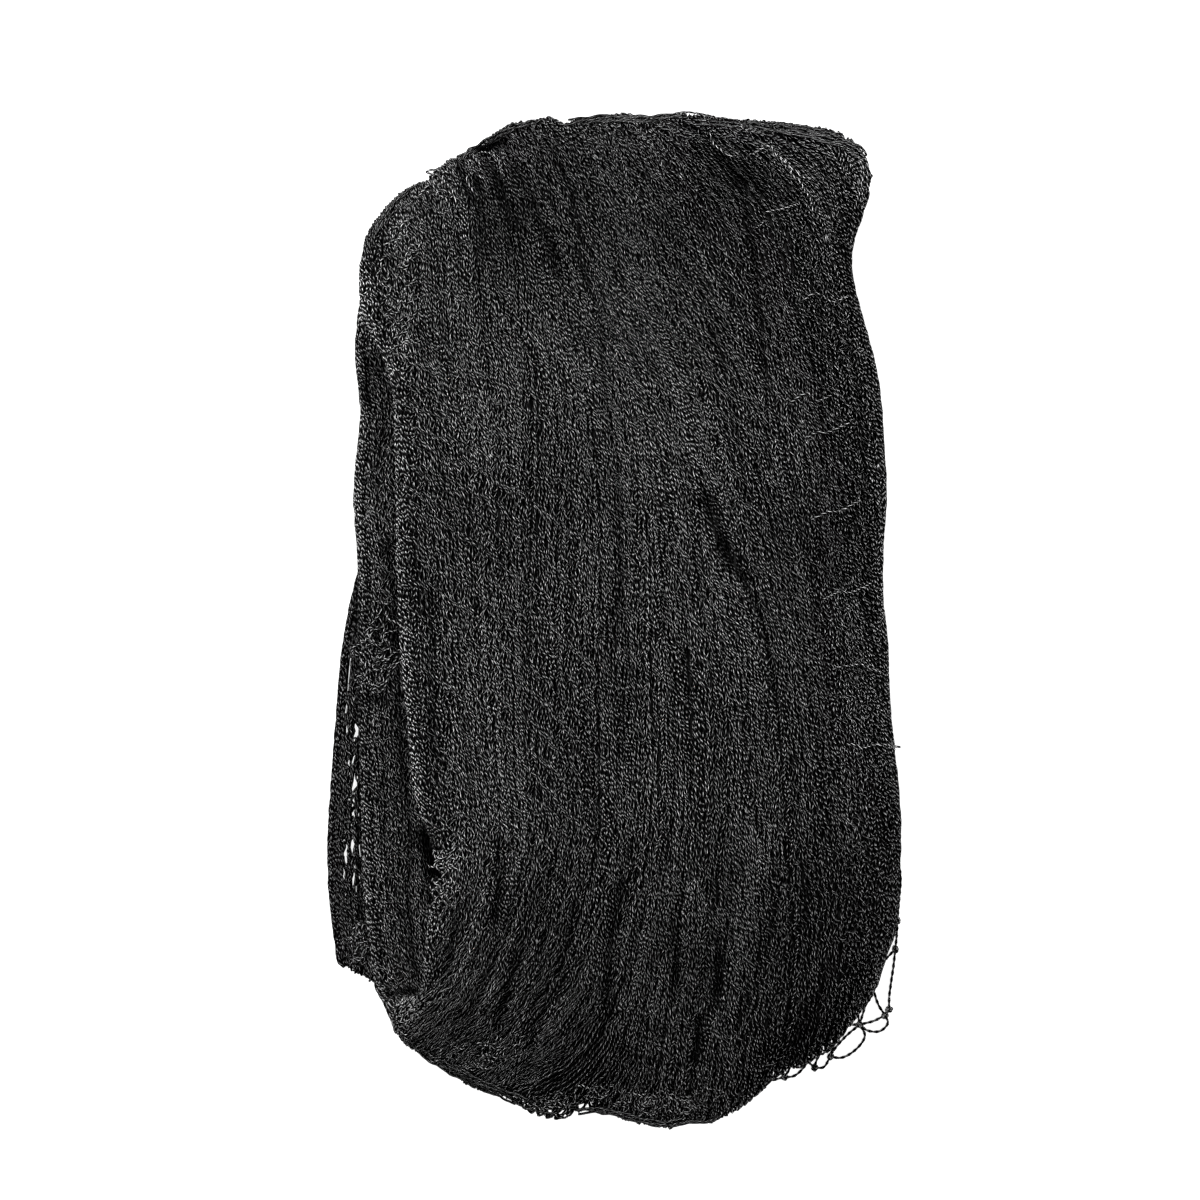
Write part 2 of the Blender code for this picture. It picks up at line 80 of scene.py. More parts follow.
# The long edges of each run. Columns: y, x of the left edge, x of the right edge.
EDGES = {
    "under": (
        (-100, -84.0, 79.5), (-84, -86.0, 82.5), (-68, -86.5, 84.0), (-50, -85.5, 82.5),
        (-30, -84.0, 81.0), (-8, -82.0, 80.5), (6, -79.5, 78.5), (18, -76.5, 78.0), (40, -74.0, 77.5),
        (70, -73.5, 75.0), (100, -73.5, 71.0), (126, -58.0, 70.0), (145, -42.0, 70.0),
    ),
    "second": (
        (-110, -72.0, 77.5), (-98, -73.5, 81.5), (-84, -75.0, 84.0), (-60, -76.0, 84.0),
        (-30, -77.0, 82.5), (-8, -77.5, 80.5), (12, -77.0, 79.5), (22, -77.5, 79.5), (36, -78.5, 80.0),
        (51, -77.5, 80.0), (60, -76.5, 79.0), (82, -78.0, 75.5), (97, -76.5, 71.5), (112, -74.0, 70.5),
        (127, -66.0, 71.0), (140, -56.0, 70.0),
    ),
    "core": (
        (-130, -53.0, 74.0), (-84, -52.5, 80.5), (-54, -57.0, 81.0), (6, -62.5, 77.0),
        (66, -63.5, 75.5), (97, -69.0, 70.5), (127, -65.0, 71.0), (140, -56.0, 70.0),
    ),
    "top": (
        (-122, -63.0, 80.0), (-113, -58.0, 81.5), (-99, -56.5, 83.0), (-86, -55.0, 84.5),
        (-77, -53.5, 85.0), (-68, -54.0, 85.5), (-54, -59.0, 85.0), (-38, -61.0, 83.5),
        (-23, -62.5, 82.0), (-8, -64.0, 81.5), (7, -64.5, 80.0), (22, -65.0, 80.0), (37, -65.0, 81.0),
        (51, -65.5, 80.5), (70, -66.5, 79.0), (80, -69.5, 77.0), (87, -73.5, 75.0), (96, -76.0, 72.5),
        (103, -76.5, 71.0), (112, -75.5, 71.0), (120, -75.0, 73.5), (128, -74.5, 76.0),
        (138, -74.0, 75.5),
    ),
}

# How far the folds and the under run's free end reach. Columns: x, y of the outline there.
NEAR_OUTLINE = (
    (-69.5, -116.5), (-67.8, -120.0), (-63.9, -126.0), (-60.3, -129.0), (-55.0, -132.8), (-46.8, -138.0),
    (-39.9, -141.0), (-32.7, -144.0), (-27.0, -147.0), (-19.5, -150.0), (-15.0, -149.2), (-8.0, -147.8),
    (-1.5, -148.6), (5.0, -150.2), (12.0, -152.2), (17.0, -152.7), (21.0, -151.3), (30.0, -150.6),
    (34.5, -148.6), (39.0, -145.2), (43.5, -141.5), (48.0, -137.6), (56.0, -134.4), (61.7, -130.8),
    (65.0, -128.2), (69.0, -123.4), (73.8, -117.6), (77.5, -112.0), (80.0, -105.0), (85.0, -92.0),
)
FAR_UPPER_OUTLINE = (
    (-77.0, 105.0), (-75.6, 111.0), (-72.3, 118.5), (-66.3, 126.0), (-64.5, 127.8), (-60.0, 130.5),
    (-56.4, 131.6), (-54.0, 134.6), (-51.0, 136.8), (-46.5, 138.9), (-42.0, 141.9), (-37.5, 145.2),
    (-33.0, 147.6), (-28.5, 149.1), (-24.0, 150.2), (-19.5, 150.8), (-15.0, 149.2), (-10.5, 150.2),
    (-5.0, 151.0), (12.0, 151.4), (17.0, 152.0), (25.5, 151.2), (34.5, 150.0), (48.0, 149.4),
    (57.0, 148.2), (66.0, 146.4), (70.5, 144.3), (74.0, 140.5), (77.0, 133.0),
)
FAR_LOWER_OUTLINE = (
    (-76.0, 104.0), (-68.0, 121.0), (-56.0, 131.5), (-45.0, 141.0), (-33.0, 147.0), (-18.0, 147.0),
    (10.0, 148.0), (40.0, 146.0), (62.0, 141.5), (72.0, 132.0),
)
UNDER_END_OUTLINE = (
    (-86.0, -99.0), (-82.0, -105.5), (-75.5, -108.5), (-69.0, -112.0), (-60.0, -122.0), (-44.0, -133.5),
    (-20.0, -141.0), (13.0, -146.0), (31.0, -143.0), (49.0, -132.0), (59.0, -128.0), (70.0, -119.0),
    (77.0, -107.0), (85.0, -88.0),
)

# The folds, with the runs they join, the end they are at (+1 far) and the edges of the band at the bend.
FOLDS = {
    "far_upper": {
        "from": "core", "to": "top", "side": 1, "outline": FAR_UPPER_OUTLINE,
        "left": -75.0, "right": 77.0, "furrows": (0.8, 0.0),
    },
    "near": {
        "from": "top", "to": "second", "side": -1, "outline": NEAR_OUTLINE,
        "left": -66.5, "right": 79.5, "furrows": (1.0, 0.3),
    },
    "far_lower": {
        "from": "second", "to": "under", "side": 1, "outline": FAR_LOWER_OUTLINE,
        "left": -75.0, "right": 72.0, "furrows": (0.0, 1.0),
    },
}

# How the stack is pressed down towards its rim: share lost there, and the power by which it comes on;
# the far and near ends also have the share of the half length where it starts.
SIDE_PRESS, SIDE_POWER = 0.33, 3.2
FAR_PRESS, FAR_START = 0.36, 0.55
NEAR_PRESS, NEAR_START = 0.42, 0.40
END_POWER = 1.6

# How far the cords lean towards -X between the long edges. Columns: y, share of the band's width.
LEAN = ((-150, 0.1), (-120, 0.08), (-85, 0.04), (-50, 0.0), (60, 0.0), (100, 0.05), (150, 0.15))

# Which way the top's cords run. Columns: y, then degrees from +Y towards +X at each x of FLOW_AT.
FLOW_AT = (-70.0, -50.0, -25.0, -9.0, 5.0, 35.0, 65.0)
FLOW = (
    (-150, 60, 62, 62, 52, 15, 5, 25),
    (-130, 45, 52, 54, 48, 15, 6, 20),
    (-115, 28, 42, 42, 36, 12, 2, 12),
    (-100, 5, 28, 30, 24, 10, 6, 0),
    (-85, -8, 20, 17, 16, 12, -6, -2),
    (-70, -4, 8, 11, 10, 8, 0, -10),
    (-55, 0, -2, -2, 1, 4, 4, -10),
    (-25, 0, -5, 0, -1, -2, -3, -12),
    (5, 0, -4, 0, 2, 3, -14, -12),
    (25, -5, -8, 2, -1, -4, -16, -10),
    (50, -5, -10, 2, -4, -10, -13, -12),
    (80, -10, -7, -6, -13, -20, -24, -13),
    (97, -8, -5, -7, -15, -22, -26, -10),
    (112, -5, -5, -10, -12, -14, -26, -14),
    (128, 10, -8, -14, -16, -17, -38, -32),
    (145, 30, -25, -26, -26, -28, -50, -50),
)

# Creases in the top: depth, half width, then x and y of each point along it.
CREASES = (
    (3.4, 2.4, (27, 36), (33, 21), (39, 12)),
    (1.8, 1.4, (39, 12), (45, -3), (48, -21), (49.5, -36)),
    (2.4, 2.0, (-39, 138), (-28.5, 117)),
    (2.6, 2.2, (-29, 135), (-22, 118), (-16.5, 102)),
    (1.4, 1.2, (30, 141), (37.5, 130), (42, 106), (44.4, 75)),
    (1.4, 1.4, (72, 56), (72, 28)),
    (1.8, 1.6, (0.6, 9), (0.6, -6)),
    (1.8, 1.6, (14, 7), (14.5, -5)),
    (1.8, 1.6, (21.6, -11), (21.8, -26)),
    (2.0, 1.6, (3, -24), (3, -41)),
    (2.4, 2.4, (-34.5, -67), (-35.5, -90)),
    (2.0, 1.8, (1.5, -80), (-2, -99), (-2, -118)),
    (2.0, 1.6, (18, -94), (18, -112)),
    (2.4, 1.8, (31.5, -100), (30, -116)),
    (2.4, 1.8, (26, -119), (24, -131)),
    (1.4, 1.6, (-20, -88), (-24, -115)),
    (1.4, 1.6, (-30, -100), (-36, -127)),
    (2.2, 2.4, (64.5, -104), (58.5, -120), (51, -131)),
    (1.2, 1.4, (-55, 8), (-54.5, -20), (-53.5, -54)),
    (4.2, 3.6, (-57, -65), (-55, -74), (-53, -84)),
)

# Where the top's cords lie in shade or stand in the light: gain, half width, then points x and y.
TONES = (
    (0.6, 60.0, (-60, 145), (60, 145)),
    (0.61, 60.0, (-20, -150), (80, -85)),
    (0.8, 16.0, (-20, 112), (30, 118)),
    (0.86, 22.0, (-18, 90), (25, 76)),
    (0.55, 4.5, (32, 135), (42, 133), (52, 127)),
    (0.3, 2.4, (31.5, 22), (34, 17)),
    (0.45, 0.9, (37.5, 13.5), (42, 3), (45.9, -9), (48.3, -24)),
    (0.7, 12.0, (61.5, 24), (63, 18)),
    (0.75, 9.0, (-35, 124), (-33, 104)),
    (0.25, 1.0, (-68.1, 22), (-66.4, 6), (-65.6, -9), (-65, -24), (-64.4, -39), (-62.4, -54), (-61.4, -66),
     (-62.4, -81), (-61.4, -97), (-59.4, -107)),
    (0.38, 4.6, (-80.5, 8), (-83, -30), (-85, -70), (-83, -103)),
    (0.12, 2.2, (-71.5, -1), (-71.2, -7.5)),
    (0.2, 1.6, (-69, 4), (-67.6, -3)),
    (0.25, 1.3, (-66.8, -5), (-67.2, -11)),
    (0.2, 1.8, (-72.4, -15.6), (-71.4, -17.6)),
    (0.2, 2.0, (-74, -23.6), (-70, -24)),
    (0.2, 1.1, (-41.1, 132.6), (-40.6, 128.4)),
    (0.15, 1.1, (-78, 12), (-77.4, -20), (-77, -60), (-77.8, -80), (-76, -93), (-74.5, -101)),
    (0.65, 0.9, (-55, 8), (-53.2, -12), (-53.6, -24), (-55.5, -39), (-57.3, -54)),
    (0.0, 2.6, (-53.8, -69), (-53, -75)),
    (0.15, 1.7, (-52.5, -84), (-52.0, -86.5)),
    (0.3, 1.6, (-58, -62), (-57, -68)),
    (0.08, 1.5, (-67.5, -112.5), (-60, -111.6)),
    (0.0, 2.3, (-40.6, 140.9), (-34.0, 143.0)),
    (0.4, 0.8, (-32.1, 141.9), (-30.6, 131.1)),
    (0.45, 0.8, (-28.5, 126), (-26.4, 116.1)),
    (0.4, 0.8, (-20.4, 143.1), (-15.6, 134.4), (-11.4, 126)),
    (0.45, 0.9, (-37.5, 135.9), (-32.4, 128.1)),
    (0.5, 0.8, (-55.5, 129), (-55.5, 122.1)),
    (0.5, 0.7, (-46.5, 116.1), (-45.6, 105.9)),
    (0.5, 0.8, (-13.5, 123), (-10.5, 114)),
    (0.5, 0.8, (-70.5, -48), (-69.9, -66.9), (-63.9, -92.1)),
    (0.3, 1.4, (-47.4, 137), (-45, 131), (-43.5, 126)),
    (0.35, 2.0, (-41.5, 131), (-40, 120), (-39, 108)),
    (0.6, 4.5, (-36, 128), (-33, 114)),
    (0.3, 1.2, (-51, 133), (-49, 126)),
    (0.4, 1.5, (-19, 112), (-17, 108)),
    (0.35, 2.6, (-73, 79), (-72.4, 76)),
    (0.2, 1.6, (-74.8, 72), (-74.4, 66)),
    (0.5, 2.0, (-70, 60), (-71.5, 50), (-73, 41)),
    (0.3, 1.4, (-67.6, 24), (-69.5, 20)),
    (0.4, 0.9, (30, 141), (37.5, 132), (42, 105), (44.4, 75), (45.9, 45)),
    (0.4, 0.8, (28.5, 87), (36, 60), (39, 36)),
    (0.4, 0.8, (69, 111), (70.5, 84), (73.5, 60), (75.9, 18), (76.5, 0)),
    (0.4, 0.8, (58.5, 6), (63, -18), (64.5, -33)),
    (0.4, 0.9, (-12, 111), (-4.5, 90), (-3, 66), (0.9, 45), (2.1, 6), (4.5, -18)),
    (0.5, 0.8, (60, 100), (62, 80), (61, 62), (64, 40)),
    (0.6, 1.4, (4.5, -64.5), (1.5, -78), (-1.5, -102), (-3, -114)),
    (0.3, 1.2, (18.9, -99), (18.6, -108)),
    (0.3, 1.4, (31, -94), (30.6, -110)),
    (0.3, 1.6, (25.5, -123), (24.5, -131)),
    (0.8, 6.0, (22, -98), (27, -112), (24, -128)),
    (0.55, 1.2, (-20, -72), (-27, -96), (-36, -120)),
    (0.6, 1.0, (-28, -76), (-36, -100), (-46, -122)),
    (0.6, 1.0, (-41, -74), (-47, -92), (-57, -112)),
    (0.6, 0.9, (-12, -84), (-17, -104), (-24, -124)),
    (0.3, 1.4, (-47, -86), (-48.8, -97), (-49.5, -104)),
    (1.5, 0.9, (-24, -74), (-32, -98), (-42, -122)),
    (1.6, 0.9, (-36, -76), (-43, -96), (-52, -114)),
    (1.5, 0.8, (-16, -80), (-22, -102), (-30, -124)),
    (1.8, 0.8, (-64.5, -119), (-54, -128), (-36, -138), (-17, -144)),
    (1.6, 0.8, (-60, -118), (-50, -125.5), (-34, -134), (-19, -140)),
    (2.5, 3.2, (-75.3, 100), (-73, 90), (-69.5, 81), (-66, 74)),
    (1.25, 2.6, (-64.5, 66), (-62.8, 36), (-61.2, 0), (-59.8, -30), (-57.8, -54)),
    (1.2, 1.2, (-62.6, 0), (-60.6, -30), (-58.6, -54)),
    (1.7, 1.6, (-50.5, -68), (-49.6, -76), (-50, -82)),
    (1.7, 1.3, (-54, -82), (-51, -83)),
    (1.35, 3.5, (-56, -84), (-51, -92)),
    (1.7, 2.6, (-67.5, -115), (-61, -115.5), (-61, -124)),
    (1.35, 5.0, (-34, -137), (-10, -141), (14, -149), (36, -142)),
    (1.4, 3.0, (-51, 138), (-44, 138.5), (-36, 138)),
    (1.3, 5.0, (62, 142), (72, 138), (75, 128)),
    (1.3, 3.0, (-18, 149), (10, 150), (40, 148)),
)

# Furrows between the gathers of cord: depth, count over the width, wander, phase.
FURROWS = (
    (1.5, 5.3, 0.40, 0.0),
    (1.1, 8.6, 0.30, 1.3),
    (0.8, 13.4, 0.35, 2.9),
    (0.6, 23.7, 0.45, 4.1),
)
FURROW_DRIFT = 0.23  # how far the furrows wander from one section to the next
CREASE_SHADE = 0.22  # light lost in a crease for each millimetre of its depth

# The skin's grid: columns across each face and round each long edge, rows along each run and fold.
FACE_COLUMNS, EDGE_COLUMNS = 113, 15
RING = 2 * (FACE_COLUMNS + EDGE_COLUMNS)
RUN_ROWS, FOLD_ROWS = 74, 15
END_ANGLES = (15, 35, 60)  # in degrees, of the sections that round off the band's two free ends
SEEN_ROWS, SEEN_COLUMNS = 3, 4  # apart, where it is looked whether the skin shows
LOOK_FROM = 0.0045  # metres over the skin, where each such look starts

# ---------------------------------------------------------------- how the cords lie, in millimetres
TWIST_MM = 3.3  # of cord to one turn of its plies
RUN_WEIGHTS = (1.0, 1.0, 0.35)  # of X, Y and Z in the run along a cord, by which its plies turn
TRIANGLE_LIMIT = 190000  # past which a layer goes on in another piece
CORD_SIDES = 3  # of the tubes that lie on the skin
STRIP_EDGE = -76.5  # left of it the core is cut off, so that light shows between the under run's cords
CORE_INSET = 1.5  # of the dark core under the skin
CORE_ROWS, CORE_COLUMNS = 3, 2  # of the skin's grid to one of the core's

# Layers of cords on the skin. Columns: piece, spacing in pitches, distance between a cord's points, its
# height over the skin, its shade, share of the cords that are made. The shade is painted shade: the low
# layer, deep between the others, is drawn dark, and the high layer a little lighter.
LAYERS = (
    ("face_cords_low", 1.0, 3.3, -1.1, 0.35, 1.0),
    ("face_cords", 1.0, 1.5, -0.4, 0.96, 1.0),
    ("face_cords_high", 1.0, 1.5, 0.15, 1.06, 0.46),
    ("side_cords", 1.2, 3.2, -0.5, 0.9, 1.0),
)
LOW, FACE, HIGH, SIDE = range(len(LAYERS))
MARGIN = 2  # points that a cord is laid past where it shows
WIDE_LANE = 1.35  # spread of a lane, against its spread at the top's middle, that has room for a cord more
NARROW_LANE = 0.5  # and the spread at which three cords of four end
SHOWN = 0.4  # share of a place's neighbourhood that has to show for a cord to be laid there

FALL = 0.9  # how far a loose cord falls for each millimetre that it runs out over an edge
LOWEST = 0.55  # height of the middle of a cord that lies on the floor
CROSS_RADIUS, HANGING_RADIUS, RIM_RADIUS, LOOP_RADIUS, KNOT_RADIUS = 0.34, 0.32, 0.38, 0.34, 0.36
# Painted light: the cords that cross over the gathers are drawn lighter than the skin's cords, as they lie
# on top in the light; the knots keep about the cords' own shade.
CROSS_SHADE, KNOT_SHADE = 1.8, 0.9
OPEN_REST = 0.56  # height of the open meshes' cords
OPEN_PLY, OPEN_TWIST = 0.27, 4.2  # radius of their plies, and length of one turn

# ---------------------------------------------------------------- looks and stage
WHITE = (1, 1, 1, 1)
PLY_SHARPNESS, CREST_SHARPNESS = 15.0, 4.0  # powers that narrow the light on a ply, and round a cord
VIEW_WIDTH, VIEW_FROM = 0.360, 3.0  # metres that the camera sees across, and its height over its aim
SENSOR = 36.0

# ---------------------------------------------------------------- the loose edge and the loops, in plan
# The net's open meshes beside the bundle. Knots: name, x, y.
KNOTS = {
    "side": (85.4, -90.9),
    "right": (84.8, -99.6),
    "corner": (82.9, -117.8),
    "fork": (81.7, -119.6),
    "middle": (74.0, -122.4),
    "left": (65.2, -132.0),
    "small": (60.4, -135.4),
    "last": (51.3, -138.2),
}
# Their cords: height of an end that is tucked into the band or a knot's name, points between, end.
OPEN_CORDS = (
    (2.6, ((80.0, -62.0), (84.8, -70.0), (86.4, -78.0), (86.0, -84.0)), "side"),
    (2.6, ((80.0, -74.0), (84.2, -81.0), (85.0, -86.0)), "side"),
    ("side", ((85.3, -94.5),), "right"),
    (2.6, ((74.5, -104.0), (80.4, -103.6)), "right"),
    ("right", ((84.3, -104.5), (83.5, -110.0), (83.0, -114.0)), "corner"),
    (2.6, ((75.0, -103.5), (77.9, -111.0), (79.9, -116.8)), "fork"),
    ("fork", ((78.1, -121.4), (75.8, -122.0)), "middle"),
    ("fork", ((82.6, -121.7), (80.6, -124.2), (76.2, -124.1)), "middle"),
    (2.6, ((70.5, -111.0), (73.2, -118.0)), "middle"),
    (2.6, ((74.4, -105.5), (76.5, -113.5), (75.1, -118.8)), "middle"),
    (2.6, ((64.0, -119.0), (69.6, -122.3)), "middle"),
    ("middle", ((69.3, -126.5), (66.2, -130.2)), "left"),
    ("middle", ((75.6, -125.4), (72.6, -130.2), (67.8, -132.5)), "left"),
    (2.6, ((63.6, -119.5), (66.1, -128.0)), "left"),
    ("left", ((62.9, -135.4),), "small"),
    (2.6, ((60.5, -122.5), (62.3, -130.6), (61.0, -133.2)), "small"),
    (2.6, ((54.0, -126.5), (58.6, -133.8)), "small"),
    (2.6, ((57.0, -124.5), (57.6, -134.6), (53.4, -138.2)), "last"),
    (2.6, ((51.0, -127.5), (52.9, -135.6)), "last"),
    ("last", ((46.7, -139.3), (41.0, -137.5), (38.0, -133.0)), 2.6),
)

# Slits between the under run's edge cords, where nothing lies: half width, then x and y of both ends.
SLITS = (
    (0.5, (-80.2, -12), (-80.4, -15)), (0.5, (-80.7, -19), (-80.9, -21)),
    (0.5, (-81.2, -25.6), (-81.3, -27)), (0.5, (-81.2, -32), (-81.2, -34)),
    (0.5, (-78.0, -32), (-78.2, -35)), (0.46, (-79.4, -42), (-79.4, -43)),
    (0.5, (-78.9, -48), (-79.0, -51)), (0.5, (-79.2, -56), (-79.2, -58)),
    (0.5, (-79.5, -67), (-79.6, -70)), (0.48, (-81.6, -70), (-81.4, -73)),
    (0.5, (-78.9, -77.4), (-79.0, -79)),
)

# Single cords that cross the gathers, near the right edge and at the far right corner: points x, y.
CROSS_CORDS = (
    ((57, 54.5), (61, 56), (65, 56.6), (70, 59)),
    ((58.5, 30), (63, 32), (68, 33), (73.5, 36)),
    ((61.5, 6), (66, 8), (71, 8.6), (76.5, 11)),
    ((65, -14.5), (70, -13.4), (75, -14), (80.5, -16)),
    ((69, -37), (74, -37.8), (79, -37.2), (84, -38.6)),
    ((27.3, 146), (30.9, 141.3), (34.5, 138.6), (38.1, 138.3), (41.7, 139.8), (46.2, 141.6), (49.5, 138.3),
     (52.5, 135.3), (54.9, 133.5), (59.1, 131.7)),
    ((46.5, 141.6), (51.3, 135.9), (55.5, 130.5), (57.9, 125.7), (60.3, 121.5)),
    ((44.1, 121.5), (47.7, 122.4), (51.3, 123.3), (54.9, 123.8)),
    ((40.5, 118), (41.7, 116.7), (43.2, 117.3), (44.4, 120)),
    ((82, -35), (83.2, -37), (84.1, -37.9), (85.2, -38.3)),
    ((55.5, 95), (60, 97.5), (65, 95), (70.5, 97)),
    ((52.5, 65), (57, 67.5), (61, 65.5), (64.5, 67)),
)

# Single loops that stand out of the left side, the far left corner and the far end: points x, y.
HANGING_CORDS = (
    ((-72.9, -2.1), (-74.4, -5.7), (-76.8, -7.2), (-78.6, -8.1), (-79.2, -10), (-77.6, -10.6),
     (-76.0, -9.6)),
    ((-76.5, -9.9), (-75, -11.4), (-74.1, -12.9), (-73.2, -13.8), (-71.7, -12.9), (-70.5, -11.4),
     (-69.6, -9.6), (-68.4, -8.1)),
    ((-78.3, -18.6), (-77.4, -17.1), (-75.6, -16.5), (-74.4, -17.7), (-73.8, -18.9), (-72, -20.1),
     (-70.5, -19.8), (-69.6, -18.9), (-70.2, -15.9), (-69.6, -13.5), (-68.4, -12.3), (-67.2, -10.5),
     (-64.8, -9)),
    ((-71.7, 0.9), (-70.5, 0), (-69.6, -1.8), (-69.3, -6), (-67.8, -7.5)),
    ((-72, 5.4), (-70.8, 5.9), (-69.3, 4.8), (-67.2, 5.4)),
    ((-70.2, 3.4), (-71, 1.4), (-72.6, -0.4), (-74.4, -3.4), (-75, -6.6), (-74, -9.4), (-72.4, -10.2)),
    ((-66.6, -16.5), (-66, -14.1), (-64.8, -12.6), (-63.6, -11.1)),
    ((-69.3, -20.4), (-68.1, -16), (-66.6, -13), (-65.4, -11)),
    ((-77.8, -20.4), (-76.2, -19.4), (-75, -17.4), (-74.8, -14.6), (-75.4, -12.2)),
    ((-72.4, -21.4), (-71.2, -21.8), (-69.8, -21), (-68.6, -18.6), (-67.6, -15.6)),
    ((-76.8, -8.4), (-76.6, -11.4), (-75.4, -13.6), (-73.4, -15.2), (-71.6, -14.6), (-70.4, -12.8)),
    ((-63.6, -1.8), (-65.6, -0.6), (-67.8, 0.4), (-68.6, 2.4)),
    ((-42.6, 139.8), (-38.7, 140.1), (-36, 138.9), (-34.5, 136.5), (-34.5, 134.1)),
    ((-42.6, 138.9), (-40.2, 136.2), (-38.7, 134.4)),
    ((-44.7, 139.2), (-39.6, 142.5), (-36, 144.8), (-33.6, 146.7)),
    ((-44.4, 132.6), (-44.1, 131.1), (-42.6, 128.4), (-41.1, 126.6)),
    ((-41.4, 133.4), (-39.9, 132.2), (-38.4, 131.4), (-37.8, 129), (-39.3, 126.9)),
    ((-53.7, 128.1), (-51.6, 128.5), (-49, 127.5), (-47.5, 125.1), (-47.1, 122.1)),
    ((-52.5, 126.9), (-50.7, 126), (-49.5, 123.9), (-49.2, 121.8)),
    ((-59.5, 125.7), (-57, 129), (-55.5, 130.5)),
    ((-55.8, 131.4), (-53.7, 129), (-52.2, 126.9)),
    ((-49, 133.8), (-52.4, 134.6), (-55.2, 134.9), (-56.6, 134.3), (-55.2, 133.7), (-52, 133.2)),
    ((14, 150), (18, 152), (22, 152.6), (26, 152), (31, 150.6)),
)

# Cords drawn along the bundle's rims: cords, their spacing, step inwards of the first, then points x, y.
RIM_CORDS = (
    (6, 0.6, 0.0, (16, 151.6), (25.5, 150.6), (34.5, 149.8), (43.5, 149.2), (50, 148.8), (59, 147.4),
     (65, 146), (70.5, 143.7), (74.7, 140.7), (76.5, 137.1), (77, 133.5), (76.6, 128.7), (75.3, 123.9),
     (73.5, 119.7), (72, 113)),
    (5, 0.6, 0.0, (-58, 130.8), (-63.6, 127.6), (-67.5, 124.2), (-71.7, 119.1), (-74.1, 115), (-75.6, 110),
     (-76.2, 104)),
    (5, 0.7, 0.0, (-66.5, -119), (-60.3, -128.6), (-52, -134.6), (-42, -140), (-32.7, -144), (-24, -148),
     (-14, -149)),
    (4, 0.5, 0.1, (-12, -148.4), (-1.5, -148.6), (6, -150.4), (14, -152.4), (21, -151.3), (30, -150.4),
     (36, -147.4)),
    (4, 0.6, 0.1, (-50, 137.2), (-42, 142), (-33, 147.4), (-22, 150.2)),
    (4, 0.6, 0.1, (-15, 150.2), (-5, 151), (10, 151.4), (22, 151.4)),
)

# Patches of loops that stand out of the bundle.
# Columns: x, y, half width, half length, loops, direction in degrees from +Y, curl, lift.
LOOP_PATCHES = (
    (-71.5, -10.0, 4.5, 12.0, 12, 20, 1.2, 1.8),
    (-53.5, 132.0, 4.0, 4.0, 6, 40, 1.4, 1.4),
    (-46.0, 140.5, 5.0, 3.0, 12, -60, 1.2, 1.4),
    (-51.0, -72.0, 3.0, 4.0, 10, -30, 1.3, 1.8),
    (-50.5, -83.0, 3.0, 4.0, 12, 10, 1.2, 1.6),
    (-64.0, 100.0, 5.0, 22.0, 36, 8, 1.0, 1.2),
    (0.0, -144.5, 34.0, 3.5, 60, 60, 1.1, 1.2),
    (-42.0, -131.0, 15.0, 4.0, 26, 55, 1.0, 1.2),
    (-66.5, -120.0, 5.0, 4.0, 20, 35, 1.1, 1.4),
    (-80.0, -100.0, 5.0, 6.0, 16, 30, 1.0, 0.8),
)


# ---------------------------------------------------------------- tables and noise
def smooth_table(rows, at, column=1):
    """A table's column at the values in at, on a smooth curve through its rows; flat beyond its ends."""
    rows = np.array(rows, float)
    keys, values = rows[:, 0], rows[:, column]
    slopes = np.gradient(values, keys)
    at = np.clip(np.asarray(at, float), keys[0], keys[-1])
    i = np.clip(np.searchsorted(keys, at) - 1, 0, len(keys) - 2)
    step = keys[i + 1] - keys[i]
    u = (at - keys[i]) / step
    return (
        values[i] * (1 + 2 * u) * (1 - u) ** 2
        + values[i + 1] * u * u * (3 - 2 * u)
        + step * (slopes[i] * u * (1 - u) ** 2 - slopes[i + 1] * u * u * (1 - u))
    )


def mix(a, b, share):
    return a + (b - a) * share


def waves(rng, at, lengths):
    """A smooth random wave of about unit height at the places in at, from waves of the given lengths."""
    total = np.zeros_like(at)
    for length in lengths:
        total += np.sin(2 * math.pi * (at / (length * rng.uniform(0.8, 1.25)) + rng.uniform()))
    return total / math.sqrt(len(lengths))


def unit(vectors):
    return vectors / np.maximum(np.linalg.norm(vectors, axis=-1, keepdims=True), 1e-9)


def travelled(line):
    """How far each point of a line is from its start, along it."""
    return np.concatenate([[0.0], np.cumsum(np.linalg.norm(np.diff(line, axis=0), axis=1))])


def evened(values, width):
    """Values in a row, each the mean of the width values round it."""
    return np.convolve(np.pad(values, width // 2, mode="edge"), np.ones(width) / width, mode="valid")


def far_from(x, y, places):
    """How far places in plan are from each stretch of a line, one stretch after another."""
    for (x0, y0), (x1, y1) in zip(places, places[1:]):
        dx, dy = x1 - x0, y1 - y0
        u = np.clip(((x - x0) * dx + (y - y0) * dy) / (dx * dx + dy * dy), 0, 1)
        yield np.hypot(x - x0 - u * dx, y - y0 - u * dy)


def bell(far, half_width):
    return np.exp(-((far / half_width) ** 2))


def solid_tree():
    """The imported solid, for rays."""
    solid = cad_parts[NET].data
    return BVHTree.FromPolygons([v.co for v in solid.vertices], [tuple(p.vertices) for p in solid.polygons])


# ---------------------------------------------------------------- the band's skin
def floor_of(run):
    below = STACK[: STACK.index(run)]
    return sum(RUNS[name]["thick"] + GAP for name in below)


def across(t, y):
    """Where the cord at share t of the band's width lies between its long edges, at y."""
    return t - smooth_table(LEAN, y) * 4 * t * (1 - t)


def run_x(run, t, y):
    round_edge = RUNS[run]["thick"] / 2
    left = smooth_table(EDGES[run], y, 1) + round_edge
    right = smooth_table(EDGES[run], y, 2) - round_edge
    return mix(left, right, across(t, y))


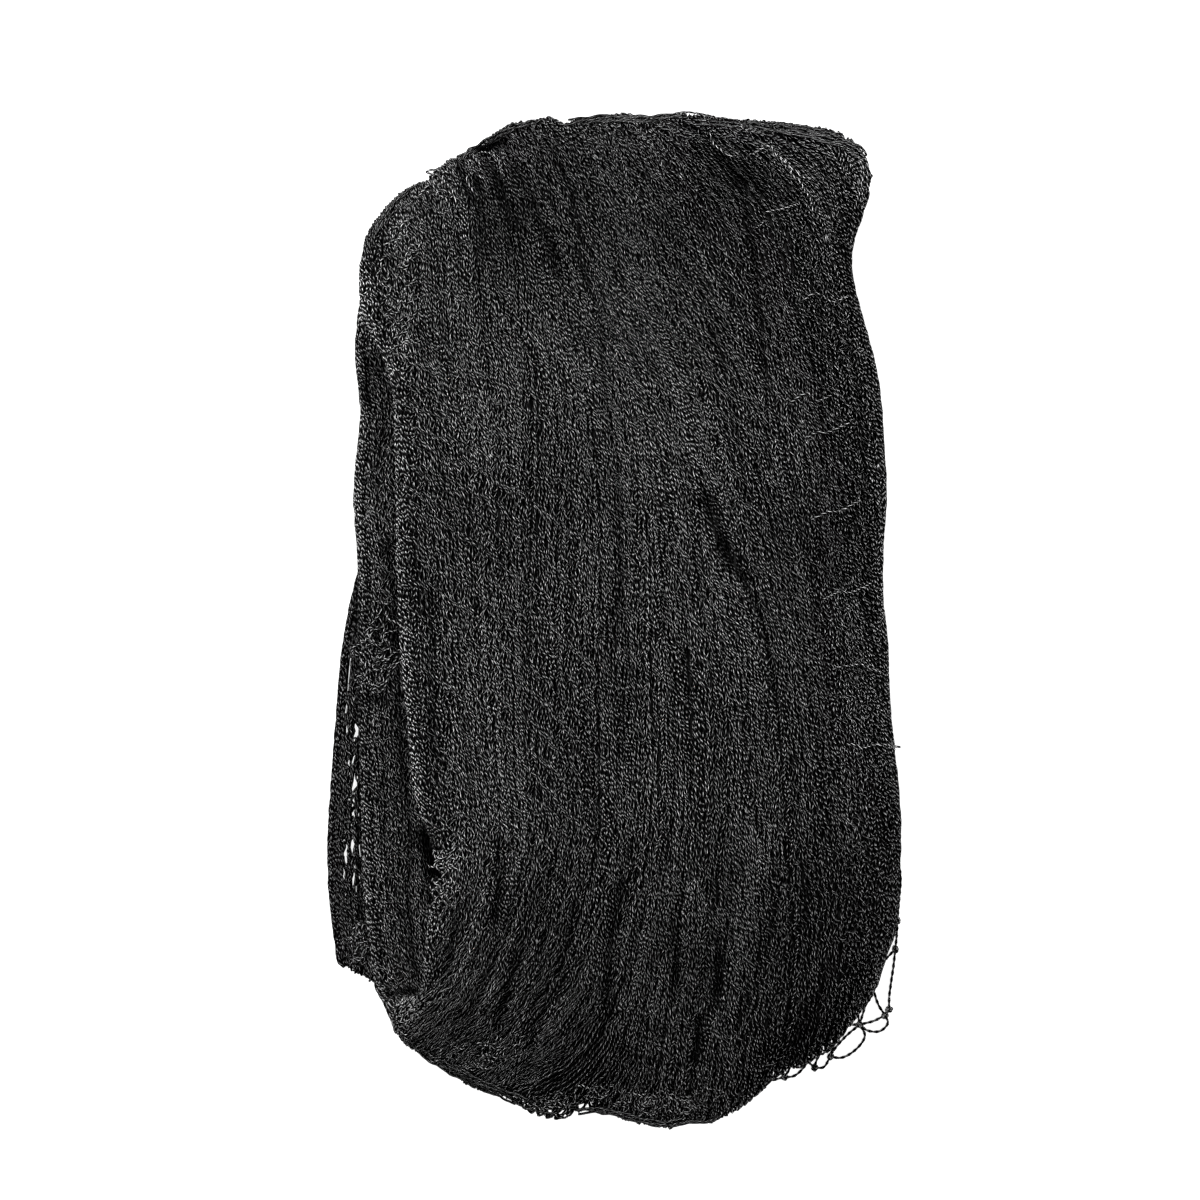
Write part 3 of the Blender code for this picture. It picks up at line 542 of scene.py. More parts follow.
def fold_shape(name, t):
    """(x at the bend, y of the pivot, z of the pivot, inner radius) of a fold at share t of the width."""
    fold = FOLDS[name]
    lower, upper = sorted((fold["from"], fold["to"]), key=STACK.index)
    inside = floor_of(upper) - floor_of(lower) - RUNS[lower]["thick"]
    thick = (RUNS[lower]["thick"] + RUNS[upper]["thick"]) / 2
    end = fold["side"] * HALF_LENGTH
    x = mix(fold["left"] + thick / 4, fold["right"] - thick / 4, across(t, end))
    reach = smooth_table(fold["outline"], x) + fold["side"] * RIDGE_RISE
    return x, reach - fold["side"] * (inside / 2 + thick), floor_of(upper) - inside / 2, inside / 2


def run_ends(run, t):
    if run == "under":
        edge = RUNS["under"]["thick"] / 2
        reach = smooth_table(UNDER_END_OUTLINE, mix(-86.0 + edge, 85.0 - edge, t))
        return reach + edge, fold_shape("far_lower", t)[1]
    near = fold_shape("near", t)[1] + (CORE_SHORT if run == "core" else 0.0)
    return near, fold_shape("far_lower" if run == "second" else "far_upper", t)[1]


def run_section(run, share, t, heading, thick_share=1.0, past=0.0):
    near, far = run_ends(run, t)
    y = mix(near, far, share)
    data = RUNS[run]
    passed = share if heading > 0 else 1 - share
    return {
        "x": run_x(run, t, y),
        "y": y + past,
        "z": np.full_like(t, floor_of(run) + data["thick"] / 2),
        "out": (0.0, -heading),
        "thick": data["thick"] * thick_share,
        "furrows": [strength * thick_share for strength in data["furrows"]],
        "number": data["first"] + passed * (data["sections"] - 1),
        "creased": run == "top",
    }


def fold_section(name, turn, t):
    fold = FOLDS[name]
    bend_x, pivot_y, pivot_z, inside = fold_shape(name, t)
    thick = mix(RUNS[fold["from"]]["thick"], RUNS[fold["to"]]["thick"], turn)
    radius = inside + thick / 2
    rises = 1 if STACK.index(fold["to"]) > STACK.index(fold["from"]) else -1
    angle = math.pi * turn
    nearest = fold["from"] if turn < 0.5 else fold["to"]
    out_y, out_z = fold["side"] * math.sin(angle), -rises * math.cos(angle)
    a_side = 1 if rises * fold["side"] > 0 or name == "near" else -1
    return {
        "x": mix(run_x(nearest, t, pivot_y), bend_x, math.sin(angle) ** 2),
        "y": pivot_y + radius * out_y,
        "z": np.full_like(t, pivot_z + radius * out_z),
        "out": (a_side * out_y, a_side * out_z),
        "thick": thick,
        "furrows": [strength * (1 - 0.5 * math.sin(angle)) for strength in fold["furrows"]],
        "number": RUNS[fold["to"]]["first"] - 6 + 6 * turn,
        "creased": "top" in (fold["from"], fold["to"]),
        "bend": (math.sin(angle), fold["side"], fold["outline"]),
    }


def band_sections(t):
    """Every section of the band, from its start in the core to its end in the under run."""
    def ends(run, heading):
        for degrees in END_ANGLES:
            angle = math.radians(degrees)
            past = -RUNS[run]["thick"] / 2 * math.cos(angle)
            yield run_section(run, 0.0, t, heading, math.sin(angle), past)

    def run(name, heading):
        return [run_section(name, share, t, heading) for share in np.linspace(0, 1, RUN_ROWS)[::heading]]

    def fold(name):
        return [fold_section(name, turn, t) for turn in np.linspace(0, 1, FOLD_ROWS + 2)[1:-1]]

    return (
        list(ends("core", 1)) + run("core", 1) + fold("far_upper") + run("top", -1) + fold("near")
        + run("second", 1) + fold("far_lower") + run("under", -1) + list(ends("under", -1))[::-1]
    )


def furrow_depth(t, number):
    drift = number * FURROW_DRIFT
    total = np.zeros_like(t)
    for depth, count, wander, phase in FURROWS:
        turns = count * t + wander * math.sin(drift * (1 + 0.4 * phase) + phase)
        total += depth * (0.5 + 0.5 * np.cos(2 * math.pi * turns + phase)) ** 3
    return total * np.sin(math.pi * np.clip(t, 0.015, 0.985)) ** 0.4


def crease_depth(x, y):
    total = np.zeros_like(x)
    for depth, half_width, *places in CREASES:
        for far in far_from(x, y, places):
            total = np.maximum(total, depth * bell(far, half_width))
    return total


def tone(x, y):
    """How light the top's cords are at places in plan, 1 where nothing shades or lifts them."""
    total = np.clip(1 - CREASE_SHADE * crease_depth(x, y), 0.1, 1)
    for gain, half_width, *places in TONES:
        far = np.min(list(far_from(x, y, places)), axis=0)
        total = total * (1 + (gain - 1) * bell(far, half_width))
    return total


def open_through(x, y):
    """Whether places in plan lie in a slit between the edge cords."""
    inside = np.zeros(x.shape, bool)
    for half_width, *places in SLITS:
        for far in far_from(x, y, places):
            inside |= far < half_width
    return inside


def crown(x, y):
    """Share of its height that the stack keeps at a place in plan: it is pressed down towards its rim."""
    side = SIDE_PRESS * np.minimum(np.abs(x) / HALF_WIDTH, 1.0) ** SIDE_POWER
    far = FAR_PRESS * np.clip((y / HALF_LENGTH - FAR_START) / (1 - FAR_START), 0, 1) ** END_POWER
    near = NEAR_PRESS * np.clip((-y / HALF_LENGTH - NEAR_START) / (1 - NEAR_START), 0, 1) ** END_POWER
    return (1 - side) * (1 - far - near)


def edge_points(section, column, outwards, half):
    """Points round a long edge of a section, from face A to face B; in a fold they keep to its outline."""
    angles = np.linspace(0, math.pi, EDGE_COLUMNS + 2)[1:-1]
    rise, reach = np.cos(angles) * half, np.sin(angles) * half
    last_x, (out_y, out_z) = section["x"][column], section["out"]
    y = section["y"][column] + out_y * rise
    if "bend" in section:
        turned, side, outline = section["bend"]
        reach = reach * (1 - 0.5 * turned**2)
        inwards = smooth_table(outline, last_x + outwards * reach) - smooth_table(outline, last_x)
        rim = section["y"][column] + turned * (side * half + inwards)
        y = side * np.minimum(side * y, side * rim)
    return np.stack([last_x + outwards * reach, y, section["z"][column] + out_z * rise], axis=1)


def skin_rows(inset):
    """The band's skin, inset by some millimetres: a ring of points for each section."""
    t = np.linspace(0, 1, FACE_COLUMNS)
    rows = []
    for section in band_sections(t):
        out_y, out_z = section["out"]
        half = section["thick"] / 2 * (1 - 2 * inset / MEAN_THICK)
        furrow = furrow_depth(t, section["number"])
        strength_a, strength_b = section["furrows"]
        depth_a = half - strength_a * furrow
        if section["creased"]:
            depth_a = depth_a - max(out_z, 0.0) * crease_depth(section["x"], section["y"])
        depth_b = -(half - strength_b * furrow)
        centre = np.stack([section["x"], section["y"], section["z"]], axis=1)
        out = np.array((0.0, out_y, out_z))
        face_a, face_b = centre + depth_a[:, None] * out, centre + depth_b[:, None] * out
        right, left = edge_points(section, -1, 1, half), edge_points(section, 0, -1, half)
        rows.append(np.concatenate([face_a, right, face_b[::-1], left[::-1]]))
    points = np.array(rows)
    points[..., 2] *= crown(points[..., 0], points[..., 1])
    return points


def place(points):
    """Points of the plan, in millimetres, as metres where the part stands."""
    return (np.asarray(points, float) - PLAN_CENTRE) * MM


class Skin:
    """The band's skin as a grid, a row for each section and a column for each place round it."""

    def __init__(self):
        self.points = skin_rows(0.0)
        down = np.gradient(self.points, axis=0)
        round_it = np.roll(self.points, -1, axis=1) - np.roll(self.points, 1, axis=1)
        self.normals = unit(np.cross(round_it, down))
        top_middle = len(END_ANGLES) + RUN_ROWS + FOLD_ROWS + RUN_ROWS // 2
        faces_up = self.normals[top_middle, FACE_COLUMNS // 2, 2]
        if faces_up < 0:
            self.normals = -self.normals
        steps = np.linalg.norm(np.diff(self.points, axis=0), axis=2)
        self.path = np.concatenate([[0.0], np.cumsum(np.percentile(steps, 70, axis=1))])
        round_steps = np.linalg.norm(self.points - np.roll(self.points, 1, axis=1), axis=2)
        self.pitch = float(np.median(round_steps[:, :FACE_COLUMNS]))
        self.lanes = self.flow()
        self.open_up, self.open_side = self.seen()

    def flow(self):
        """Columns that cords pass: a row for each section, a lane for each column at the top's middle."""
        first = len(END_ANGLES) + RUN_ROWS + FOLD_ROWS // 2
        last = first + RUN_ROWS + FOLD_ROWS
        middle = (first + last) // 2
        down = np.gradient(self.points, axis=0)
        beside = (np.roll(self.points, -1, axis=1) - np.roll(self.points, 1, axis=1)) / 2
        table = np.array(FLOW, float)
        turn = np.zeros(self.points.shape[:2])
        for r in range(first, last):
            points = self.points[r, :FACE_COLUMNS]
            angles = np.array([smooth_table(table, points[:, 1], k + 1) for k in range(len(FLOW_AT))])
            wanted = np.array([np.interp(x, FLOW_AT, angles[:, c]) for c, x in enumerate(points[:, 0])])
            slope = np.tan(np.radians(wanted))
            d, b = down[r, :FACE_COLUMNS], beside[r, :FACE_COLUMNS]
            k = -(d[:, 0] - slope * d[:, 1]) / (b[:, 0] - slope * b[:, 1])
            k = k * np.clip(self.normals[r, :FACE_COLUMNS, 2] * 1.6 - 0.3, 0, 1)
            k = evened(np.pad(k[4:-4], 4, mode="edge"), 9)
            turn[r, :FACE_COLUMNS] = k
            turn[r, FACE_COLUMNS:] = np.linspace(k[-1], k[0], RING - FACE_COLUMNS + 2)[1:-1]
        lanes = np.zeros_like(turn)
        lanes[middle] = np.arange(RING)
        ring = np.arange(RING + 1)
        for way, end in ((1, last), (-1, first)):
            for r in range(middle, end, way):
                aside = np.interp(lanes[r] % RING, ring, np.append(turn[r], turn[r, 0]))
                lanes[r + way] = lanes[r] + way * aside
        lanes[last + 1:] = lanes[last]
        lanes[:first] = lanes[first]
        return lanes

    def lane(self, row, start):
        """Columns at fractional rows of the cord that passes the column start at the top's middle."""
        row = np.clip(row, 0, len(self.lanes) - 1.001)
        r, whole = row.astype(int), math.floor(start)
        u, v = row - r, start - whole
        turns, c = divmod(whole, RING)
        wrapped = RING if c + 1 == RING else 0
        near = self.lanes[:, c] * (1 - v) + (self.lanes[:, (c + 1) % RING] + wrapped) * v + turns * RING
        return near[r] * (1 - u) + near[r + 1] * u

    def row_at(self, path):
        return np.interp(path, self.path, np.arange(len(self.path)))

    def sample(self, grid, row, column):
        """A grid's values at fractional rows and columns; columns go round."""
        row = np.clip(row, 0, len(grid) - 1.001)
        r, c = row.astype(int), np.floor(column).astype(int)
        u, v = row - r, column - c
        if grid.ndim == 3:
            u, v = u[..., None], v[..., None]
        c0, c1 = c % RING, (c + 1) % RING
        return (
            grid[r, c0] * (1 - u) * (1 - v) + grid[r + 1, c0] * u * (1 - v)
            + grid[r, c1] * (1 - u) * v + grid[r + 1, c1] * u * v
        )

    def seen(self):
        """Which places of the skin show from above, and which from the sides or below, from 0 to 1."""
        def ways(angles, rises):
            return [Vector((math.cos(a), math.sin(a), rise)) for a in angles for rise in rises]

        tree = solid_tree()
        above = [Vector(UP)] + ways((0.3, 1.9, 3.4, 5.0), (2.2,))
        aside = ways(np.linspace(0, 5.5, 8), (0.1, 0.8))
        below = [Vector((0, 0, -1))]
        rows, columns = np.arange(0, len(self.points), SEEN_ROWS), np.arange(0, RING, SEEN_COLUMNS)
        up = np.zeros((len(rows), len(columns)))
        side = np.zeros_like(up)
        for i, r in enumerate(rows):
            for j, c in enumerate(columns):
                normal = Vector(self.normals[r, c])
                start = Vector(place(self.points[r, c])) + normal * LOOK_FROM
                for directions, found in ((above, up), (aside + below, side)):
                    for direction in directions:
                        if direction.dot(normal) > -0.2 and tree.ray_cast(start, direction)[0] is None:
                            found[i, j] = 1.0
                            break
        full = np.ix_(np.arange(len(self.points)) // SEEN_ROWS, np.arange(RING) // SEEN_COLUMNS)
        return up[full], side[full]


SKIN = Skin()


# ---------------------------------------------------------------- meshes
def finished(name, points, loops, starts, uvs, shades=None):
    """A new piece from points in plan, its faces' corners and the first corner of each face."""
    mesh = bpy.data.meshes.new(name)
    places = place(points)
    mesh.vertices.add(len(places))
    mesh.vertices.foreach_set("co", places.astype(np.float32).ravel())
    mesh.loops.add(len(loops))
    mesh.loops.foreach_set("vertex_index", loops.astype(np.int32))
    mesh.polygons.add(len(starts))
    mesh.polygons.foreach_set("loop_start", starts.astype(np.int32))
    mesh.update(calc_edges=True)
    layer = mesh.uv_layers.new(name="along")
    layer.data.foreach_set("uv", uvs.astype(np.float32).ravel())
    if shades is not None:
        layer = mesh.attributes.new("shade", "FLOAT", "POINT")
        layer.data.foreach_set("value", shades.astype(np.float32))
    mesh.polygons.foreach_set("use_smooth", np.ones(len(starts), bool))
    if mesh.validate():
        raise RuntimeError(f"the mesh of {name} isn't sound")
    piece = bpy.data.objects.new(name, mesh)
    bpy.context.scene.collection.objects.link(piece)
    return piece


def dressed(piece, name, make, look):
    """Gives a piece its material, made once, and has it ride the part in place of the net's solid."""
    piece.data.materials.append(bpy.data.materials.get(name) or make(look))
    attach(piece, "root")
    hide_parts(NET)


class Cords:
    """Cords to be made as one mesh: each is a line of points, and which way is out from what it lies on."""

    def __init__(self, sides):
        self.sides = sides
        self.lines = []

    def add(self, points, normals, radius, shade, twist=1.0):
        if len(points) > 1:
            normals = np.broadcast_to(np.asarray(normals, float), points.shape)
            self.lines.append((points, normals, radius, shade, twist))

    def triangles(self):
        return sum(2 * self.sides * len(line[0]) for line in self.lines)

    def made(self, name):
        """The cords as one piece of closed tubes, with U round each cord and V along it in millimetres."""
        sides = self.sides
        sizes = np.array([len(line[0]) for line in self.lines])
        points = np.concatenate([line[0] for line in self.lines])
        normals = np.concatenate([line[1] for line in self.lines])
        radius = np.repeat([line[2] for line in self.lines], sizes)
        shade = np.concatenate([np.broadcast_to(line[3], len(line[0])) for line in self.lines])
        twist = np.concatenate([np.broadcast_to(line[4], len(line[0])) for line in self.lines])
        skew = (twist - 1) * TWIST_MM
        owner = np.repeat(np.arange(len(sizes)), sizes)
        joined = owner[1:] == owner[:-1]
        steps = np.diff(points, axis=0) * joined[:, None]
        lengths = np.linalg.norm(steps * RUN_WEIGHTS, axis=1)
        along = np.zeros_like(points)
        along[:-1] += steps
        along[1:] += steps
        along = unit(along)
        aside = unit(np.cross(along, normals))
        above = np.cross(aside, along)
        run = np.concatenate([[0.0], np.cumsum(lengths)])
        first = np.concatenate([[0], np.cumsum(sizes)[:-1]])
        # Each cord's twist starts elsewhere and turns a little faster or slower.
        at = np.arange(len(sizes))
        start, stretch = 5.0 * (at * 0.618 % 1), 0.75 + 0.5 * (at * 0.414 % 1)
        run = (run - run[first][owner] + start[owner]) * stretch[owner]
        turn = np.arange(sides) * 2 * math.pi / sides + math.pi / 2
        rings = points[:, None] + radius[:, None, None] * (
            aside[:, None] * np.cos(turn)[None, :, None] + above[:, None] * np.sin(turn)[None, :, None]
        )
        k = np.flatnonzero(joined)[:, None]
        j = np.arange(sides)[None, :]
        j2 = (j + 1) % sides
        quads = np.stack([k * sides + j, (k + 1) * sides + j, (k + 1) * sides + j2, k * sides + j2], axis=2)
        # U is 0 at a cord's outermost line, and below 0 on its far side.
        far_side = (j + 0.5) / sides > 0.51
        u0, u1 = j / sides - far_side + 0 * k, (j + 1) / sides - far_side + 0 * k
        corners = ((u0, k), (u0, k + 1), (u1, k + 1), (u1, k))
        uv = np.stack([np.stack([u, run[at] + u * skew[at]], 2) for u, at in corners], 2)
        last = first + sizes - 1
        caps_a = first[:, None] * sides + np.arange(sides)[None, :]
        caps_b = last[:, None] * sides + np.arange(sides)[None, ::-1]
        cap_uv = np.zeros((2 * len(sizes) * sides, 2))
        loops = np.concatenate([quads.ravel(), caps_a.ravel(), caps_b.ravel()])
        uvs = np.concatenate([uv.reshape(-1, 2), cap_uv])
        quad_starts = np.arange(len(quads) * sides) * 4
        cap_starts = quads.size + np.arange(2 * len(sizes)) * sides
        return finished(
            name, rings.reshape(-1, 3), loops, np.concatenate([quad_starts, cap_starts]),
            uvs, np.repeat(shade, sides),
        )


def laid(line, hand):
    """How tightly a cord's plies turn: where it runs aslant they're pulled out along it."""
    step = np.gradient(line[:, :2], axis=0)
    aslant = np.abs(step[:, 0]) / np.maximum(np.hypot(step[:, 0], step[:, 1]), 1e-6)
    return hand * (1.0 + np.clip(aslant * 1.7 - 0.6, 0, 1))


def stretches(shown, margin, slit):
    """Where a cord shows, as (first, last) pairs, each a little longer than what shows but out of slits."""
    grown = np.convolve(shown, np.ones(2 * margin + 1), mode="same") > 0
    padded = np.concatenate([[False], grown & ~slit, [False]])
    edges = np.flatnonzero(padded[1:] != padded[:-1])
    return [(first, last) for first, last in zip(edges[::2], edges[1::2]) if last - first > 4]


def skin_cords(net, number, shows):
    """A layer of cords round the band's skin wherever it shows, in meshes that are drawn nearly shut."""
    _, spacing, step, depth, painted_layer_shade, share = LAYERS[number]
    radius, pitch, sway = net.thickness / MM / 2, spacing * (net.pitch / MM), net.sway / MM
    rng = np.random.default_rng(net.seed + number)
    made = Cords(CORD_SIDES)
    count = int(RING * SKIN.pitch / pitch / 2) * 2
    path = np.arange(0.0, SKIN.path[-1], step)
    row = SKIN.row_at(path)
    mesh_length = rng.uniform(9.5, 10.5)
    families = [
        (rng.uniform(5.0, 15.0), rng.choice((-1, 1)) * rng.uniform(5.0, 16.0), rng.uniform())
        for _ in range(9)
    ]
    for k in range(2 * count):
        i, between = k // 2 + 0.5 * (k % 2), k % 2 == 1
        start = i * RING / count
        spread = SKIN.lane(row, start + 0.5) - SKIN.lane(row, start - 0.5)
        if rng.uniform() > share or (between and spread.max() < WIDE_LANE):
            continue
        beside = start * SKIN.pitch
        together = sum(
            np.sin(2 * math.pi * (path / length + beside / width + phase))
            for length, width, phase in families
        )
        wander = 1.5 * waves(rng, path, (31.0, 17.0))
        zigzag = np.sin(2 * math.pi * path / mesh_length + math.pi * k + wander)
        aside = sway * (0.2 * together + 0.35 * zigzag * waves(rng, path, (29.0, 61.0)))
        slow, quick = waves(rng, path, (19.0, 47.0)), waves(rng, path, (4.7, 6.9))
        aside += 0.22 * slow + 0.2 * quick + rng.normal(0, 0.15)
        column = SKIN.lane(row, start) + aside / SKIN.pitch
        shown = SKIN.sample(shows, row, column) > SHOWN
        shown &= spread > WIDE_LANE if between else spread > (NARROW_LANE if k % 4 else 0.0)
        plan = SKIN.sample(SKIN.points[..., :2], row, column)
        slit = open_through(plan[:, 0], plan[:, 1])
        lift = depth + 0.2 * waves(rng, path, (7.0, 17.0)) + 0.12 * np.cos(2 * math.pi * path / mesh_length)
        # The layer's painted shade, times a random tone for each cord.
        shade = painted_layer_shade * rng.uniform(0.7, 1.3)
        twist = -1.0 if rng.uniform() < 0.85 else 1.0
        for first, last in stretches(shown, MARGIN, slit):
            rows, columns = row[first:last], column[first:last]
            normals = unit(SKIN.sample(SKIN.normals, rows, columns))
            even = np.clip(normals[:, 2:] * 2.0, 0.35, 1.0)
            points = SKIN.sample(SKIN.points, rows, columns) + normals * lift[first:last, None] * even
            points[:, 2] = np.maximum(points[:, 2], radius + 0.02)
            shades = shade * np.where(normals[:, 2] > -0.2, tone(points[:, 0], points[:, 1]), 1.0)
            made.add(points, normals, radius, shades, laid(points, twist))
    return made


# ---------------------------------------------------------------- materials
class Socket:
    """A shader socket that takes part in Python expressions."""

    def __init__(self, tree, output):
        self.tree, self.output = tree, output

    def maths(self, operation, *values):
        return self.tree.node("ShaderNodeMath", {"operation": operation}, dict(enumerate(values)))

    def __add__(self, other):
        return self.maths("ADD", self, other)

    def __sub__(self, other):
        return self.maths("SUBTRACT", self, other)

    def __rsub__(self, other):
        return self.maths("SUBTRACT", other, self)

    def __mul__(self, other):
        return self.maths("MULTIPLY", self, other)

    def __pow__(self, other):
        return self.maths("POWER", self, other)

    def sine(self):
        return self.maths("SINE", self)

    def held(self, low, high):
        return self.maths("MINIMUM", self.maths("MAXIMUM", self, low), high)

    __radd__, __rmul__ = __add__, __mul__


class ShaderTree:
    """The nodes of one material, made by type, settings and inputs."""

    def __init__(self, name):
        self.material = bpy.data.materials.new(name)
        self.material.use_nodes = True
        self.nodes, self.links = self.material.node_tree.nodes, self.material.node_tree.links
        self.nodes.clear()

    def node(self, kind, settings=None, inputs=None, output=0):
        made = self.nodes.new(kind)
        for key, value in (settings or {}).items():
            setattr(made, key, value)
        for key, value in (inputs or {}).items():
            if isinstance(value, Socket):
                self.links.new(value.output, made.inputs[key])
            else:
                made.inputs[key].default_value = value
        return Socket(self, made.outputs[output]) if made.outputs else None

    def parts(self, vector):
        node = self.nodes.new("ShaderNodeSeparateXYZ")
        self.links.new(vector.output, node.inputs[0])
        return [Socket(self, output) for output in node.outputs]

    def vector(self, x, y):
        return self.node("ShaderNodeCombineXYZ", None, {0: x, 1: y})

    def noise(self, vector, scale, detail=2.0):
        return self.node("ShaderNodeTexNoise", None, {"Vector": vector, "Scale": scale, "Detail": detail})

    def blend(self, share, first, second):
        return self.node("ShaderNodeMix", {"data_type": "RGBA"}, {0: share, 6: first, 7: second}, output=2)

    def bump(self, strength, distance, height):
        return self.node(
            "ShaderNodeBump", None, {"Strength": strength, "Distance": distance, "Height": height}
        )

    def surface(self, inputs):
        shader = self.node("ShaderNodeBsdfPrincipled", None, inputs)
        self.node("ShaderNodeOutputMaterial", None, {"Surface": shader})
        return self.material


def rgba(colour, level=1.0):
    return (*[channel * level for channel in colour], 1.0)


def cord_material(look):
    """Two plies of matt black plastic fibre, twisted: the light that each ply's crest catches is a painted
    highlight, mixed into the base colour.
    """
    t = ShaderTree("twisted_cord")
    u, v, _ = t.parts(t.node("ShaderNodeUVMap", {"uv_map": "along"}))
    shade = t.node("ShaderNodeAttribute", {"attribute_name": "shade"}, output=2)
    place = t.node("ShaderNodeTexCoord", output=3)
    turns = u * look.plies + v * (look.plies / look.twist_mm) + t.noise(place, 190.0, 1.0) * 2.0
    ply = (turns * (2 * math.pi)).sine() * 0.5 + 0.5
    fibre = t.noise(t.vector(u * 9.0, v * 0.7), 1.0, 2.0)
    patch = t.noise(place, 22.0, 3.0)
    # Painted highlight: where a ply's crest faces out of the cord, its colour goes towards the light
    # colour.
    outer = ((u * (2 * math.pi) + math.pi / 2).sine() * 0.5 + 0.5) ** CREST_SHARPNESS
    crest = outer * (ply ** PLY_SHARPNESS + 0.008)
    crest = crest * (fibre * 4.0 - 1.4).held(0.02, 1.4) * shade * (patch * 1.3 + 0.35)
    return t.surface({
        "Base Color": t.blend(crest.held(0.0, 1.0), rgba(look.dark), rgba(look.light)),
        "Roughness": look.roughness,
        "Normal": t.bump(0.8, 0.0003, ply + fibre * 0.3),
        "Specular IOR Level": 0.0,
    })


def core_material(look):
    """The cords deeper in the band, nearly lost in the dark: the cord's own black, halved, with its crests
    all but gone, as painted shade.
    """
    t = ShaderTree("deep_cords")
    u, v, _ = t.parts(t.node("ShaderNodeUVMap", {"uv_map": "along"}))
    wander = t.noise(t.vector(u * 0.05, v * 0.05), 1.0, 2.0) * 9.0
    cord = (u * 5.2 + wander).sine() * 0.5 + 0.5
    # Painted shade: the deep cords take half the cord's black and almost none of its light colour.
    return t.surface({
        "Base Color": t.blend(cord * 0.5, rgba(look.dark, 0.5), rgba(look.light, 0.02)),
        "Roughness": 0.75,
        "Normal": t.bump(0.6, 0.0004, cord),
        "Specular IOR Level": 0.05,
    })


def floor_material(stage):
    """An even pale floor that gives a little light of its own."""
    t = ShaderTree("pale_floor")
    grain = t.noise(t.node("ShaderNodeTexCoord", output=3), 8.0, 2.0)
    return t.surface({
        "Base Color": t.blend(grain, rgba(stage.floor, 0.99), rgba(stage.floor)),
        "Roughness": 0.9,
        "Emission Color": WHITE,
        "Emission Strength": stage.floor_light,
    })


# ---------------------------------------------------------------- sizes and colours
class NetCordSettings(bpy.types.PropertyGroup):
    """Sizes of the net's cords."""

    thickness: FloatProperty(
        name="Cord thickness", description="Thickness of the twisted cord",
        default=0.84 * MM, min=0.0005, max=0.002, unit="LENGTH",
    )
    pitch: FloatProperty(
        name="Cord pitch", description="From one cord to the next across the gathered net",
        default=0.92 * MM, min=0.0006, max=0.004, unit="LENGTH",
    )
    sway: FloatProperty(
        name="Mesh sway", description="How far a cord swings aside in each closed-up mesh",
        default=0.8 * MM, min=0.0, max=0.003, unit="LENGTH",
    )
    seed: IntProperty(name="Lay", description="Picks how the cords lie", default=7, min=0)


class NetLookSettings(bpy.types.PropertyGroup):
    """Colours of the cord."""

    dark: FloatVectorProperty(
        name="Cord black", description="Colour between the plies",
        default=(0.0004, 0.0004, 0.0004), size=3, min=0, max=1, subtype="COLOR",
    )
    # Painted highlight: the colour that the plies' crests take where the light catches them, mixed into the
    # cord's base colour.
    light: FloatVectorProperty(
        name="Cord light", description="Colour of the worn crests of the plies",
        default=(0.78, 0.78, 0.783), size=3, min=0, max=1, subtype="COLOR",
    )
    roughness: FloatProperty(
        name="Roughness", description="Roughness of the cord", default=0.5, min=0, max=1, subtype="FACTOR"
    )
    twist_mm: FloatProperty(
        name="Twist", description="Millimetres of cord to one turn of its plies",
        default=TWIST_MM, min=1, max=20,
    )
    plies: IntProperty(name="Plies", description="Plies twisted into the cord", default=2, min=1, max=8)


class NetStageSettings(bpy.types.PropertyGroup):
    """The floor and the lights."""

    floor: FloatVectorProperty(
        name="Floor", description="Colour of the floor",
        default=(0.35, 0.35, 0.35), size=3, min=0, max=1, subtype="COLOR",
    )
    floor_light: FloatProperty(
        name="Floor light", description="Light that the floor gives by itself", default=0.9, min=0
    )
    key_power: FloatProperty(
        name="Key light", description="Power of the key light", default=60.0, min=0, unit="POWER"
    )
    side_power: FloatProperty(
        name="Side lights", description="Power of each side light", default=22.0, min=0, unit="POWER"
    )
    fill_power: FloatProperty(
        name="Fill light", description="Power of the fill light", default=8.0, min=0, unit="POWER"
    )
    room: FloatProperty(name="Room light", description="Strength of the even light", default=0.2, min=0)


# ---------------------------------------------------------------- operators
class NET_OT_core(bpy.types.Operator):
    """Make the dark core of the folded band, the sheet that the cords lie on"""

    bl_idname = "netting.core"
    bl_label = "Folded core"

    def execute(self, context):
        points = skin_rows(CORE_INSET)[::CORE_ROWS, ::CORE_COLUMNS]
        points[..., 0] = np.maximum(points[..., 0], STRIP_EDGE)
        rows, ring = points.shape[:2]
        i, j = np.meshgrid(np.arange(rows - 1), np.arange(ring), indexing="ij")
        j2 = (j + 1) % ring
        quads = np.stack([i * ring + j, i * ring + j2, (i + 1) * ring + j2, (i + 1) * ring + j], axis=2)
        beside = np.broadcast_to(np.arange(ring) * CORE_COLUMNS * SKIN.pitch, (rows, ring))
        along = np.broadcast_to(SKIN.path[::CORE_ROWS, None], (rows, ring))
        uv_of = np.stack([beside, along], axis=2).reshape(-1, 2)
        loops = [quads.ravel()]
        starts = [np.arange(quads[..., 0].size) * 4]
        middle = (FACE_COLUMNS + EDGE_COLUMNS // 2) // CORE_COLUMNS
        for first, backwards in ((0, True), ((rows - 1) * ring, False)):
            rungs = [[(middle - k) % ring, (middle + k) % ring] for k in range(1, ring // 2)]
            rungs = [[middle], *rungs, [(middle + ring // 2) % ring]]
            for one, two in zip(rungs, rungs[1:]):
                face = np.array(one + two[::-1])[:: -1 if backwards else 1] + first
                starts.append(np.array([sum(len(part) for part in loops)]))
                loops.append(face)
        loops, starts = np.concatenate(loops), np.concatenate(starts)
        core = finished("net_core", points.reshape(-1, 3), loops, starts, uv_of[loops])
        dressed(core, "deep_cords", core_material, context.scene.net_look)
        return {"FINISHED"}


def cord_piece(context, name, cords):
    """Makes cords as one piece of the twisted cord's material."""
    dressed(cords.made(name), "twisted_cord", cord_material, context.scene.net_look)


